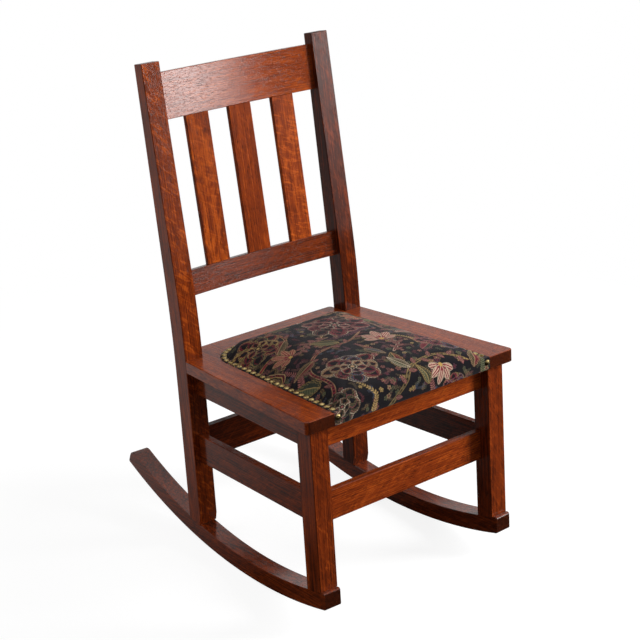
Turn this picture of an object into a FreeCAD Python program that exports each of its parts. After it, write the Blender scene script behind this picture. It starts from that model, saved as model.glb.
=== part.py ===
import FreeCAD, Part
import math
import os

os.makedirs("parts", exist_ok=True)
V = FreeCAD.Vector
X_AXIS = V(1, 0, 0)
Z_AXIS = V(0, 0, 1)

# Armless oak rocking chair with a webbed, upholstered seat, in millimetres.
# It is set out on the bench standing square on its legs: X across, Y from front to back, Z up,
# with Y = 0 at the front of the front legs and Z = 0 at their feet. The last step leans the whole
# chair back to where it comes to rest on its runners. Left is -X, and the sitter faces -Y.

# Front legs
leg_width = 35.0            # across the chair
leg_depth = 36.0            # front to back
front_spread = 415.0        # over the outer faces of the front legs
leg_height = 279.0          # foot to the underside of the seat frame
leg_tenon = 20.0            # square stub tenon on the leg's top
leg_tenon_height = 12.0

# Back posts
post_width = 36.0
post_depth = 34.0           # from the foot up to the seat
post_top_depth = 21.5
seat_taper = 12.5           # each side draws in this much from the front legs to the posts
back_spread = front_spread - 2 * seat_taper     # over the outer faces of the back posts
post_setback = 355.5        # front of the front legs to the front of the back posts
rake = 6.7                  # degrees that the back leans from the legs
bend_height = 365.0         # where the upright and the raked front faces would meet
bend_radius = 1450.0
back_bend_height = 341.0
back_bend_radius = 2300.0
rake_length = 443.0         # from the bend up the raked face to the post's top
heel_taper = 5.0            # the post's front is drawn back this much at the foot
heel_height = 20.0

# Seat frame, showing wood at the left, right and back
frame_thickness = 22.0
frame_overhang_side = 14.5  # past the front legs' outer faces
frame_overhang_front = 12.0
frame_overhang_back = 10.5  # past the back posts
side_member_width = 84.0
front_member_width = 64.0
back_member_width = 88.0
frame_corner_radius = 7.0
frame_tenon_length = 18.0
frame_tenon_thickness = 8.0
frame_tenon_shoulder = 6.0  # at each side of a cross member's tenon
frame_tenon_back = 18.0     # from the back tenon to the frame's back edge

# Seat rails under the frame
rail_height = 44.0
rail_thickness = 16.0
rail_inset = 17.0           # behind the outer faces of legs and posts
back_rail_inset = 10.0      # behind the posts' front faces
rail_tenon_thickness = 8.0
rail_tenon_shoulder = 6.0   # above and below each tenon of a rail or stretcher
mitre_gap = 1.0             # between two tenons that meet inside a leg

# Stretchers
stretcher_thickness = 13.0
side_stretcher_bottom = 110.0
side_stretcher_height = 52.0
side_stretcher_inset = 12.5
front_stretcher_bottom = 103.0
front_stretcher_height = 52.5
back_stretcher_bottom = 107.0
back_stretcher_height = 60.0
back_stretcher_inset = 10.0
back_stretcher_thickness = 14.0
stretcher_tenon_thickness = 7.0
stretcher_tenon_length = 11.0
side_stretcher_tenon_length = 20.0

# Back rails and slats, measured up the raked front face from the bend
crest_height = 79.0
crest_drop = 19.0           # from the posts' tops down to the crest
crest_bottom = rake_length - crest_drop - crest_height
lower_rail_bottom = 43.0
lower_rail_height = 44.0
back_rail_thickness = 13.0
back_rail_setback = 9.0     # behind the posts' front faces
back_rail_bow = 8.0         # how far the middle lies behind the ends
back_tenon_thickness = 7.0
back_tenon_length = 14.0
back_tenon_shoulder = 7.0
slat_count = 3
slat_width = 47.0
slat_thickness = 8.0
slat_pitch = 90.5
slat_setback = 2.5          # behind the rails' front faces
slat_tenon_length = 10.0
slat_tenon_shoulder = 5.0
slat_tenon_cheek = 1.0      # the tenon is this much thinner than the slat on each face

# Runners, sawn to an arc
runner_radius = 909.0       # of the rolling edge
runner_centre_y = 202.5
runner_height = 30.3
runner_width = 33.0
runner_front = -9.0         # front end, ahead of the front legs
runner_back = 601.0         # tip of the tail
runner_tail_radius = 15.0
runner_nose_radius = 4.0
cope_margin = 25.0          # the cut for a coped foot is this much wider than the runner, each side
dowel_diameter = 10.0
dowel_in_leg = 22.0
dowel_in_runner = 16.0

# Corner blocks and the screws that hold the seat frame down
block_leg = 48.0
block_height = 22.0
screw_diameter = 4.0
screw_head_diameter = 8.0
screw_head_height = 2.6
screw_length = 34.0
screw_from_corner = 15.0

# Upholstery
bare_side = 55.0            # wood left showing beside the covered panel, at its front
cover_taper = 18.0          # each side of the panel draws in this much over its depth
cover_depth = 368.0         # front to back
cover_corner_radius = 62.0
recess_depth = 3.0          # the panel is let this deep into the frame
webbing_width = 50.0
webbing_pitch = 62.0
webbing_thickness = 1.3
webbing_count = 4           # straps each way
webbing_hold = 16.0         # tacked length on the frame at each end
hessian_thickness = 0.8
hem_width = 12.0
crown_height = 33.0         # of the stuffed seat over the frame's top
cover_thickness = 2.7       # of the padded cover over the front member
pad_sections = 9            # sections lofted from front to back
pad_fullness = 0.42         # of the crown along the seat: lower is squarer at the ends
pad_end_inset = 0.5
pad_end_rise = 5.0          # height of the first and last sections
pad_shoulder = 0.66         # share of the half width at which the side arc meets the top arc
pad_shoulder_rise = 0.86    # share of the crown reached there
pad_side_rise = 0.58        # and halfway out to the edge
pad_side_swell = 0.04       # of the half width, that the side arc swells outward
nail_head = 11.0
nail_head_height = 3.0
nail_crown = 7.5            # across the head where its dome flattens
nail_crown_height = 2.2
nail_sides = 8              # the dome is drawn with this many sides
nail_shank = 1.8            # square, under the head
nail_length = 12.0          # tapering to a point
nail_pitch = 14.0
nail_inset = 6.5            # from the edge of the covered panel
front_nail_drop = 8.0       # below the frame's top, at each front corner

# Fits and finish
joint_gap = 0.15            # between a tenon and its mortise
mortise_end_gap = 0.5
soft_gap = 0.3              # between soft parts and what they lie on
arris = 1.0                 # planed off the edges
cut_past = 1.0              # how far a cut runs on past the faces it opens
near = 1.0                  # an edge this near a line counts as lying on it

# Densities in kilograms per cubic millimetre, for the resting attitude
oak_density = 7.0e-7
soft_density = 1.2e-7
brass_density = 8.5e-6

# Places worked out from the sizes above
leg_outer = front_spread / 2
leg_inner = leg_outer - leg_width
post_outer = back_spread / 2
post_inner = post_outer - post_width
post_back = post_setback + post_depth
frame_bottom = leg_height
frame_top = frame_bottom + frame_thickness
frame_front = -frame_overhang_front
frame_back = post_back + frame_overhang_back
frame_front_half = leg_outer + frame_overhang_side
cover_front_half = frame_front_half - bare_side
cover_back_half = cover_front_half - cover_taper
cover_back = frame_front + cover_depth
frame_slope = (frame_front_half - post_outer) / (post_setback - frame_front)
back_member_front = frame_back - back_member_width
recess_floor = frame_top - recess_depth
member_front = frame_front + cover_thickness + soft_gap
front_member_back = frame_front + front_member_width
rail_bottom = frame_bottom - rail_height
runner_top_radius = runner_radius - runner_height
runner_centre_z = math.sqrt(runner_top_radius ** 2 - runner_centre_y ** 2)
foot_centre_front = (leg_outer - leg_width / 2, leg_depth / 2)
foot_centre_back = (post_outer - post_width / 2, post_setback + post_depth / 2)
toe_in = math.degrees(math.atan2(foot_centre_front[0] - foot_centre_back[0],
                                 foot_centre_back[1] - foot_centre_front[1]))
hessian_bottom = recess_floor + 2 * webbing_thickness
pad_base = hessian_bottom + hessian_thickness + soft_gap
hem_top = pad_base - soft_gap

nodes = {}
densities = {}


def keep(name, shape, density=oak_density):
    """Files a finished piece under its name."""
    nodes[name] = shape
    densities[name] = density


def keep_pair(stem, left):
    """Files the left piece and its mirror image."""
    keep(stem + "_left", left)
    keep(stem + "_right", left.mirror(V(0, 0, 0), X_AXIS))


def mirrored(points):
    """The plan points of a left-hand outline, taken over to the right."""
    return [(-x, y) for x, y in reversed(points)]


def prism(points, bottom, top):
    """A plan outline of (x, y) points carried up from one height to another."""
    ring = [V(x, y, bottom) for x, y in points]
    return Part.Face(Part.makePolygon(ring + ring[:1])).extrude(V(0, 0, top - bottom))


def box(x0, x1, y0, y1, z0, z1):
    """A block between two corners."""
    return prism([(x0, y0), (x1, y0), (x1, y1), (x0, y1)], z0, z1)


def grown(points, gap):
    """A plan outline moved outward by the gap on every side."""
    wire = Part.makePolygon([V(x, y, 0) for x, y in points + points[:1]])
    wider = wire.makeOffset2D(gap, 2)
    return [(v.Point.x, v.Point.y) for v in wider.OrderedVertexes]


def mortise(points, bottom, top):
    """The hole for a tenon of that outline, with the joint's clearance all round."""
    return prism(grown(points, joint_gap), bottom - joint_gap, top + joint_gap)


def rounded(shape, wanted, radius):
    """The shape with the chosen edges rounded over."""
    return shape.makeFillet(radius, [edge for edge in shape.Edges if wanted(edge)])


def eased(shape, wanted):
    """The shape with the sharp arris planed off the chosen edges."""
    return shape.makeChamfer(arris, [edge for edge in shape.Edges if wanted(edge)])


def runs_along(edge, axis):
    """Whether a straight edge runs within a few degrees of the axis."""
    if len(edge.Vertexes) < 2:
        return False
    way = edge.Vertexes[1].Point.sub(edge.Vertexes[0].Point)
    return abs(way.dot(axis)) > 0.99 * way.Length


def bent_line(side_y, corner_z, radius, lean, top):
    """Edges up a post's face: upright, then an arc, then raked by the lean to the top point."""
    tangent = radius * math.tan(math.radians(lean) / 2)
    half = math.radians(lean) / 2
    start = V(0, side_y, corner_z - tangent)
    end = V(0, side_y + tangent * math.sin(2 * half), corner_z + tangent * math.cos(2 * half))
    middle = V(0, side_y + radius * (1 - math.cos(half)), start.z + radius * math.sin(half))
    foot = V(0, side_y, -runner_height)
    return foot, [Part.LineSegment(foot, start).toShape(), Part.Arc(start, middle, end).toShape(),
                  Part.LineSegment(end, top).toShape()]


def runner_blank(width):
    """A runner as sawn, standing in its own plane over the foot centres, before the toe-in."""
    centre = V(0, runner_centre_y, runner_centre_z)

    def on_arc(radius, y):
        return V(0, y, centre.z - math.sqrt(radius ** 2 - (y - centre.y) ** 2))

    def arc(radius, start, end):
        return Part.Arc(start, on_arc(radius, centre.y), end).toShape()

    tail_way = V(0, runner_back - centre.y, on_arc(runner_radius, runner_back).z - centre.z)
    tail_top = centre + tail_way * (runner_top_radius / runner_radius)
    low_front = on_arc(runner_radius, runner_front)
    low_back = on_arc(runner_radius, runner_back)
    top_front = on_arc(runner_top_radius, runner_front)
    ring = Part.Wire([arc(runner_radius, low_front, low_back),
                      Part.LineSegment(low_back, tail_top).toShape(),
                      arc(runner_top_radius, tail_top, top_front),
                      Part.LineSegment(top_front, low_front).toShape()])
    blank = Part.Face(ring).extrude(V(width, 0, 0))
    blank.translate(V(-foot_centre_front[0] - width / 2, 0, 0))
    return blank


def toed_in(shape):
    """Turns a left runner in plan so that it runs under both of its feet."""
    turned = shape.copy()
    turned.rotate(V(-foot_centre_front[0], foot_centre_front[1], 0), Z_AXIS, -toe_in)
    return turned


# Runners: flat boards sawn to an arc, with a rounded tail and eased nose, set to the seat's taper
def make_runner():
    blank = runner_blank(runner_width)
    tail_top = max((edge for edge in blank.Edges if runs_along(edge, X_AXIS)),
                   key=lambda edge: edge.CenterOfMass.z)
    blank = blank.makeFillet(runner_tail_radius, [tail_top])
    blank = rounded(blank, lambda edge: runs_along(edge, X_AXIS) and (
        edge.CenterOfMass.y < runner_front + near or edge.CenterOfMass.y > runner_back - near),
        runner_nose_radius)
    return toed_in(eased(blank, lambda edge: edge.Length > runner_centre_y))


def runner_foot(y):
    """Height of the runner's top under a foot, at y."""
    return runner_centre_z - math.sqrt(runner_top_radius ** 2 - (y - runner_centre_y) ** 2)


def dowel(centre, gap=0.0):
    """The dowel between a foot and its runner, or its hole where a gap is given."""
    x, y = centre
    end_gap = mortise_end_gap if gap else 0.0
    length = dowel_in_leg + dowel_in_runner + 2 * end_gap
    return Part.makeCylinder(dowel_diameter / 2 + gap, length,
                             V(-x, y, runner_foot(y) - dowel_in_runner - end_gap), Z_AXIS)


runner_left = make_runner()
runner_bed = toed_in(runner_blank(runner_width + 2 * cope_margin))
dowels_left = [dowel(foot_centre_front), dowel(foot_centre_back)]
dowel_holes = [dowel(foot_centre_front, joint_gap), dowel(foot_centre_back, joint_gap)]
dowels_right = [pin.mirror(V(0, 0, 0), X_AXIS) for pin in dowels_left]
keep_pair("runner", runner_left.cut(dowel_holes))
keep("runner_dowels", Part.makeCompound(dowels_left + dowels_right))


def largest(shape):
    """The main solid of a cut, without the waste that lay beyond the runner."""
    return max(shape.Solids, key=lambda solid: solid.Volume)


# Tenons of the left half: plan outlines inside the leg or post, and the height that each spans
rail_low = rail_bottom + rail_tenon_shoulder
rail_high = frame_bottom - rail_tenon_shoulder
rail_cheek = (rail_thickness - rail_tenon_thickness) / 2
side_cheek_outer = rail_inset + rail_cheek
side_cheek_inner = side_cheek_outer + rail_tenon_thickness
front_cheek = rail_inset + rail_cheek
back_cheek = post_setback + back_rail_inset + rail_cheek

side_rail_front_tenon = [(-leg_outer + side_cheek_outer, leg_depth),
                         (-leg_outer + side_cheek_inner, leg_depth),
                         (-leg_outer + side_cheek_inner, front_cheek + rail_tenon_thickness + mitre_gap),
                         (-leg_outer + side_cheek_outer, front_cheek + mitre_gap)]
front_rail_tenon = [(-leg_inner, front_cheek),
                    (-leg_inner, front_cheek + rail_tenon_thickness),
                    (-leg_outer + side_cheek_inner, front_cheek + rail_tenon_thickness),
                    (-leg_outer + side_cheek_outer, front_cheek)]
side_rail_back_tenon = [(-post_outer + side_cheek_outer, post_setback),
                        (-post_outer + side_cheek_inner, post_setback),
                        (-post_outer + side_cheek_inner, back_cheek - mitre_gap),
                        (-post_outer + side_cheek_outer, back_cheek + rail_tenon_thickness - mitre_gap)]
back_rail_tenon = [(-post_inner, back_cheek),
                   (-post_inner, back_cheek + rail_tenon_thickness),
                   (-post_outer + side_cheek_outer, back_cheek + rail_tenon_thickness),
                   (-post_outer + side_cheek_inner, back_cheek)]


def straight_tenon(x0, x1, y0, y1):
    """The plan outline of a tenon that goes square into its mortise."""
    return [(x0, y0), (x1, y0), (x1, y1), (x0, y1)]


stretcher_cheek = (stretcher_thickness - stretcher_tenon_thickness) / 2
side_stretcher_outer = side_stretcher_inset + stretcher_cheek
side_stretcher_front_tenon = straight_tenon(
    -leg_outer + side_stretcher_outer, -leg_outer + side_stretcher_outer + stretcher_tenon_thickness,
    leg_depth - side_stretcher_tenon_length, leg_depth)
side_stretcher_back_tenon = straight_tenon(
    -post_outer + side_stretcher_outer, -post_outer + side_stretcher_outer + stretcher_tenon_thickness,
    post_setback, post_setback + side_stretcher_tenon_length)
front_stretcher_face = leg_depth - stretcher_thickness
front_stretcher_outer = front_stretcher_face + stretcher_cheek
front_stretcher_tenon = straight_tenon(
    -leg_inner - stretcher_tenon_length, -leg_inner,
    front_stretcher_outer, front_stretcher_outer + stretcher_tenon_thickness)
back_stretcher_face = post_setback + back_stretcher_inset
back_stretcher_cheek = (back_stretcher_thickness - stretcher_tenon_thickness) / 2
back_stretcher_tenon = straight_tenon(
    -post_inner - stretcher_tenon_length, -post_inner,
    back_stretcher_face + back_stretcher_cheek,
    back_stretcher_face + back_stretcher_cheek + stretcher_tenon_thickness)


def tenon_span(bottom, height):
    """The heights between which a stretcher's tenon stands."""
    return bottom + rail_tenon_shoulder, bottom + height - rail_tenon_shoulder


side_span = tenon_span(side_stretcher_bottom, side_stretcher_height)
front_span = tenon_span(front_stretcher_bottom, front_stretcher_height)
back_span = tenon_span(back_stretcher_bottom, back_stretcher_height)

# Raked parts of the back are made upright, with Z up the posts' front face from the bend and Y
# back from that face, and are then leaned into place
rake_place = FreeCAD.Placement(V(0, post_setback, bend_height), FreeCAD.Rotation(X_AXIS, -rake))


def raked(shape):
    """A part of the back, leaned into its place between the posts."""
    leaned = shape.copy()
    leaned.Placement = rake_place.multiply(leaned.Placement)
    return leaned


def bowed_y(x):
    """How far the front face of a bowed rail lies behind the posts' faces, at x."""
    radius = (post_inner ** 2 + back_rail_bow ** 2) / (2 * back_rail_bow)
    return back_rail_setback + back_rail_bow - radius + math.sqrt(radius ** 2 - x ** 2)


def back_tenon(bottom, height):
    """Plan outline of a bowed rail's left tenon, and the height that it spans."""
    middle = back_rail_setback + back_rail_thickness / 2
    return (straight_tenon(-post_inner - back_tenon_length, -post_inner,
                           middle - back_tenon_thickness / 2, middle + back_tenon_thickness / 2),
            bottom + back_tenon_shoulder, bottom + height - back_tenon_shoulder)


def slat_faces(x):
    """Places of the front and back faces of the slat that stands at x on the bowed rails."""
    front = bowed_y(x) + slat_setback
    return front, front + slat_thickness


def slat_tenon(x, bottom, top):
    """Plan outline of a slat's tenon, and the height that it spans in one of the rails."""
    front, back = slat_faces(x)
    half = slat_width / 2 - slat_tenon_shoulder
    return straight_tenon(x - half, x + half, front + slat_tenon_cheek, back - slat_tenon_cheek), bottom, top


slat_places = [slat_pitch * (i - (slat_count - 1) / 2) for i in range(slat_count)]
lower_rail_top = lower_rail_bottom + lower_rail_height


def bowed_rail(bottom, height):
    """A bowed back rail with its two tenons, eased along its four long edges."""
    def arc(offset, z):
        ends = bowed_y(post_inner) + offset
        middle = bowed_y(0) + offset
        return Part.Arc(V(-post_inner, ends, z), V(0, middle, z), V(post_inner, ends, z)).toShape()

    front = arc(0, bottom)
    back = arc(back_rail_thickness, bottom)
    closing = [Part.LineSegment(front.Vertexes[i].Point, back.Vertexes[i].Point).toShape() for i in (0, 1)]
    outline = Part.Wire(Part.__sortEdges__([front, back] + closing))
    body = eased(Part.Face(outline).extrude(V(0, 0, height)), lambda edge: edge.Length > post_inner)
    left, low, high = back_tenon(bottom, height)
    return body.fuse([prism(left, low, high), prism(mirrored(left), low, high)])


# Back posts: sawn to the bend, tapering up the back, heels drawn in over the runners
def make_post():
    lean = math.radians(rake)
    top_front = V(0, post_setback + rake_length * math.sin(lean),
                  bend_height + rake_length * math.cos(lean))
    top_back = top_front + V(0, post_top_depth * math.cos(lean), -post_top_depth * math.sin(lean))
    back_lean = math.degrees(math.atan2(top_back.y - post_back, top_back.z - back_bend_height))
    front_foot, front_edges = bent_line(post_setback, bend_height, bend_radius, rake, top_front)
    back_foot, back_edges = bent_line(post_back, back_bend_height, back_bend_radius, back_lean, top_back)
    outline = Part.Wire(Part.__sortEdges__(
        front_edges + back_edges + [Part.LineSegment(top_front, top_back).toShape(),
                                    Part.LineSegment(back_foot, front_foot).toShape()]))
    post = Part.Face(outline).extrude(V(post_width, 0, 0))
    post.translate(V(-post_outer, 0, 0))
    post = eased(post, lambda edge: edge.CenterOfMass.z > 0 and (
        not runs_along(edge, X_AXIS) or edge.CenterOfMass.z > frame_top))
    heel_top = runner_foot(post_setback) + heel_height
    heel = Part.Face(Part.makePolygon([V(-post_outer - cut_past, y, z) for y, z in (
        (post_setback - cut_past, heel_top), (post_setback, heel_top),
        (post_setback + heel_taper, heel_top - heel_height),
        (post_setback + heel_taper, -runner_height), (post_setback - cut_past, -runner_height),
        (post_setback - cut_past, heel_top))])).extrude(V(post_width + 2 * cut_past, 0, 0))
    post = post.cut([heel, runner_bed, dowel(foot_centre_back, joint_gap),
                     mortise(side_rail_back_tenon, rail_low, rail_high),
                     mortise(back_rail_tenon, rail_low, rail_high),
                     mortise(side_stretcher_back_tenon, *side_span),
                     mortise(back_stretcher_tenon, *back_span),
                     raked(mortise(*back_tenon(crest_bottom, crest_height))),
                     raked(mortise(*back_tenon(lower_rail_bottom, lower_rail_height)))])
    return largest(post)


keep_pair("back_post", make_post())


# Front legs: square stock, coped to the runner, with a stub tenon into the seat frame
def leg_stub(gap=0.0):
    x, y = foot_centre_front
    half = leg_tenon / 2 + gap
    return box(-x - half, -x + half, y - half, y + half, leg_height, leg_height + leg_tenon_height + gap)


def make_leg():
    leg = box(-leg_outer, -leg_inner, 0, leg_depth, -runner_height, leg_height)
    leg = eased(leg, lambda edge: runs_along(edge, Z_AXIS))
    leg = leg.cut([runner_bed, dowel(foot_centre_front, joint_gap),
                   mortise(side_rail_front_tenon, rail_low, rail_high),
                   mortise(front_rail_tenon, rail_low, rail_high),
                   mortise(side_stretcher_front_tenon, *side_span),
                   mortise(front_stretcher_tenon, *front_span)])
    return largest(leg).fuse(leg_stub())


keep_pair("front_leg", make_leg())


# Seat rails and stretchers: boards on edge, tenoned into the legs and posts
def side_board(inset, thickness, bottom, height, tenons, span):
    """A left side board that follows the seat's taper from leg to post."""
    body = prism([(-leg_outer + inset, leg_depth), (-leg_outer + inset + thickness, leg_depth),
                  (-post_outer + inset + thickness, post_setback), (-post_outer + inset, post_setback)],
                 bottom, bottom + height)
    body = eased(body, lambda edge: edge.Length > post_setback - leg_depth - near)
    return body.fuse([prism(tenon, *span) for tenon in tenons])


def cross_board(inner, face, thickness, bottom, height, tenon, span):
    """A board across the chair between two legs or posts."""
    body = box(-inner, inner, face, face + thickness, bottom, bottom + height)
    body = eased(body, lambda edge: runs_along(edge, X_AXIS))
    return body.fuse([prism(tenon, *span), prism(mirrored(tenon), *span)])


keep_pair("side_seat_rail", side_board(rail_inset, rail_thickness, rail_bottom, rail_height,
                                       [side_rail_front_tenon, side_rail_back_tenon], (rail_low, rail_high)))
keep("front_seat_rail", cross_board(leg_inner, rail_inset, rail_thickness, rail_bottom, rail_height,
                                    front_rail_tenon, (rail_low, rail_high)))
keep("back_seat_rail", cross_board(post_inner, post_setback + back_rail_inset, rail_thickness, rail_bottom,
                                   rail_height, back_rail_tenon, (rail_low, rail_high)))
keep_pair("side_stretcher", side_board(side_stretcher_inset, stretcher_thickness, side_stretcher_bottom,
                                       side_stretcher_height,
                                       [side_stretcher_front_tenon, side_stretcher_back_tenon], side_span))
keep("front_stretcher", cross_board(leg_inner, front_stretcher_face, stretcher_thickness,
                                    front_stretcher_bottom, front_stretcher_height,
                                    front_stretcher_tenon, front_span))
keep("back_stretcher", cross_board(post_inner, back_stretcher_face, back_stretcher_thickness,
                                   back_stretcher_bottom, back_stretcher_height,
                                   back_stretcher_tenon, back_span))

# Back: a crest rail and a lower rail, both bowed, with flat slats tenoned between them
slat_ends = [(lower_rail_top - slat_tenon_length, lower_rail_top),
             (crest_bottom, crest_bottom + slat_tenon_length)]


def slat_mortises(end):
    """The mortises for every slat in one rail, a little deeper than the tenons."""
    low, high = slat_ends[end]
    low -= mortise_end_gap * (1 - end)
    high += mortise_end_gap * end
    return [mortise(*slat_tenon(x, low, high)) for x in slat_places]


keep("crest_rail", raked(bowed_rail(crest_bottom, crest_height).cut(slat_mortises(1))))
keep("lower_back_rail", raked(bowed_rail(lower_rail_bottom, lower_rail_height).cut(slat_mortises(0))))


def make_slat(x):
    front, back = slat_faces(x)
    body = box(x - slat_width / 2, x + slat_width / 2, front, back, lower_rail_top, crest_bottom)
    body = eased(body, lambda edge: runs_along(edge, Z_AXIS))
    return raked(body.fuse([prism(*slat_tenon(x, low, high)) for low, high in slat_ends]))


for place, x in zip(("left", "centre", "right"), slat_places):
    keep("back_slat_" + place, make_slat(x))


# Seat frame: two side members notched round the posts, with front and back members between them
def frame_edge(y):
    """Outer edge of the frame's left side, at y."""
    return -frame_front_half + frame_slope * (y - frame_front)


def member_edge(y):
    """Inner edge of the left side member, at y."""
    return frame_edge(y) + side_member_width


def cover_outline(inset=0.0):
    """Wire round the covered panel: straight sides, rounded back corners, open past the front."""
    slope = (cover_front_half - cover_back_half) / (cover_back - frame_front)
    radius = cover_corner_radius - inset
    back = cover_back - inset
    turn = math.atan(slope)
    along = radius / math.cos(turn) - radius * math.tan(turn)

    def half(y):
        return cover_front_half - inset - slope * (y - frame_front)

    centre = V(-half(back) + along, back - radius, 0)
    side_end = V(centre.x - radius * math.cos(turn), centre.y + radius * math.sin(turn), 0)
    mid_angle = (math.pi - turn + math.pi / 2) / 2
    corner = V(centre.x + radius * math.cos(mid_angle), centre.y + radius * math.sin(mid_angle), 0)
    back_start = V(centre.x, back, 0)
    front = V(-half(frame_front), frame_front, 0)
    left = [Part.LineSegment(front, side_end).toShape(), Part.Arc(side_end, corner, back_start).toShape()]
    flip = [edge.mirror(V(0, 0, 0), X_AXIS) for edge in left]
    across = Part.LineSegment(back_start, V(-back_start.x, back, 0)).toShape()
    return left + [across] + flip[::-1]


def cover_face(inset=0.0):
    """The panel's outline closed along its front edge."""
    half = front_half(inset)
    front = Part.makeLine(V(-half, frame_front, 0), V(half, frame_front, 0))
    return Part.Face(Part.Wire(Part.__sortEdges__(cover_outline(inset) + [front])))


def panel(inset, bottom, top):
    """A flat panel of the cover's outline, at a height."""
    face = cover_face(inset)
    face.translate(V(0, 0, bottom))
    return face.extrude(V(0, 0, top - bottom))


def front_half(inset=0.0):
    """Half the panel's width at the frame's front."""
    return cover_front_half - inset


upholstery_recess = [panel(-soft_gap, recess_floor, frame_top + cut_past),
                     box(-front_half(-soft_gap), front_half(-soft_gap),
                         frame_front - cut_past, member_front,
                         frame_bottom - cut_past, frame_top + cut_past)]


def frame_tenon(y0, y1):
    """Plan outline of a cross member's left tenon in the side member."""
    return [(member_edge(y0), y0), (member_edge(y1), y1),
            (member_edge(y1) - frame_tenon_length, y1), (member_edge(y0) - frame_tenon_length, y0)]


frame_tenon_low = frame_bottom + (frame_thickness - recess_depth - frame_tenon_thickness) / 2
frame_tenon_high = frame_tenon_low + frame_tenon_thickness
front_tenon = frame_tenon(member_front + frame_tenon_shoulder, front_member_back - frame_tenon_shoulder)
rear_tenon = frame_tenon(back_member_front + frame_tenon_shoulder, frame_back - frame_tenon_back)


def side_rail_inner(y):
    """Inner face of the left side seat rail, at y."""
    share = (y - leg_depth) / (post_setback - leg_depth)
    return -(leg_outer + share * (post_outer - leg_outer)) + rail_inset + rail_thickness


front_rail_back = rail_inset + rail_thickness
back_rail_front = post_setback + back_rail_inset
block_places = {
    "corner_block_front": (side_rail_inner(leg_depth + block_leg), front_rail_back, 1),
    "corner_block_back": (side_rail_inner(back_rail_front), back_rail_front, -1),
}
screw_places = [(x + screw_from_corner, face + way * screw_from_corner)
                for x, face, way in block_places.values()]


def screw_shank(place, gap=0.0):
    """A screw's shank, or its hole, up through a block into the frame."""
    x, y = place
    return Part.makeCylinder(screw_diameter / 2 + gap, screw_length + gap,
                             V(x, y, frame_bottom - block_height))


def screw(place):
    """A screw with its flat head against the underside of a block."""
    x, y = place
    head = Part.makeCylinder(screw_head_diameter / 2, screw_head_height,
                             V(x, y, frame_bottom - block_height - screw_head_height))
    return head.fuse(screw_shank(place))


leg_clearance = box(-leg_outer, -leg_inner + joint_gap, 0, leg_depth + joint_gap, 0, leg_height)
post_clearance = box(-post_outer, -post_inner + joint_gap,
                     post_setback - joint_gap, post_back, 0, leg_height)
for (name, (x, face, way)), place in zip(block_places.items(), screw_places):
    end = face + way * block_leg
    triangle = prism([(x, face), (x + block_leg, face), (side_rail_inner(end), end)],
                     frame_bottom - block_height, frame_bottom)
    keep_pair(name, largest(triangle.cut([leg_clearance, post_clearance, screw_shank(place, joint_gap)])))
screws_left = [screw(place) for place in screw_places]
keep("frame_screws", Part.makeCompound(screws_left + [s.mirror(V(0, 0, 0), X_AXIS) for s in screws_left]))


# The side members taper inward to the back; their outer ends are rounded and their top edges eased
def on_outer_edge(edge):
    """Whether a side member's edge lies on the frame's outside, away from its neighbours."""
    middle = edge.valueAt((edge.FirstParameter + edge.LastParameter) / 2)
    outside = middle.x < frame_edge(middle.y) + frame_corner_radius and middle.y < post_setback - near
    return outside or middle.y < frame_front + near or middle.y > frame_back - frame_corner_radius


def make_side_member():
    notch = post_inner - joint_gap
    plan = prism([(frame_edge(frame_front), frame_front), (member_edge(frame_front), frame_front),
                  (member_edge(frame_back), frame_back), (-notch, frame_back), (-notch, post_setback),
                  (frame_edge(post_setback), post_setback)], frame_bottom, frame_top)
    member = rounded(plan, lambda edge: runs_along(edge, Z_AXIS) and (
        edge.CenterOfMass.y < frame_front + near
        and edge.CenterOfMass.x < member_edge(frame_front) - near
        or edge.CenterOfMass.y > frame_back - near
        and edge.CenterOfMass.x < member_edge(frame_back) - near),
        frame_corner_radius)
    member = eased(member, lambda edge: not runs_along(edge, Z_AXIS) and on_outer_edge(edge))
    return member.cut(upholstery_recess + [
        leg_stub(joint_gap), mortise(front_tenon, frame_tenon_low, frame_tenon_high),
        mortise(rear_tenon, frame_tenon_low, frame_tenon_high)]
        + [screw_shank(place, joint_gap) for place in screw_places])


keep_pair("seat_side_member", make_side_member())


def make_cross_member(y0, y1, tenon, outside):
    left, left_back = member_edge(y0), member_edge(y1)
    plan = prism([(left, y0), (-left, y0), (-left_back, y1), (left_back, y1)], frame_bottom, frame_top)
    if outside:
        plan = eased(plan, lambda edge: runs_along(edge, X_AXIS) and edge.CenterOfMass.y > y1 - near)
    body = plan.fuse([prism(tenon, frame_tenon_low, frame_tenon_high),
                      prism(mirrored(tenon), frame_tenon_low, frame_tenon_high)])
    return body.cut(upholstery_recess)


keep("seat_front_member", make_cross_member(member_front, front_member_back, front_tenon, False))
keep("seat_back_member", make_cross_member(back_member_front, frame_back, rear_tenon, True))


# Webbing: straps each way, woven over and under, with their ends tacked on the recess floor
def strap_profile(start, end, first_crossing, first_over):
    """Points along a strap's length with its level: 0 on the floor, 1 over a crossing strap."""
    slope_room = (webbing_pitch - webbing_width) / 2
    points = [(start, 0)]
    for i in range(webbing_count):
        if (i + first_over) % 2 == 0:
            centre = first_crossing + webbing_pitch * i
            reach = webbing_width / 2
            points += [(centre - reach - slope_room, 0), (centre - reach, 1),
                       (centre + reach, 1), (centre + reach + slope_room, 0)]
    return points + [(end, 0)]


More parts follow.
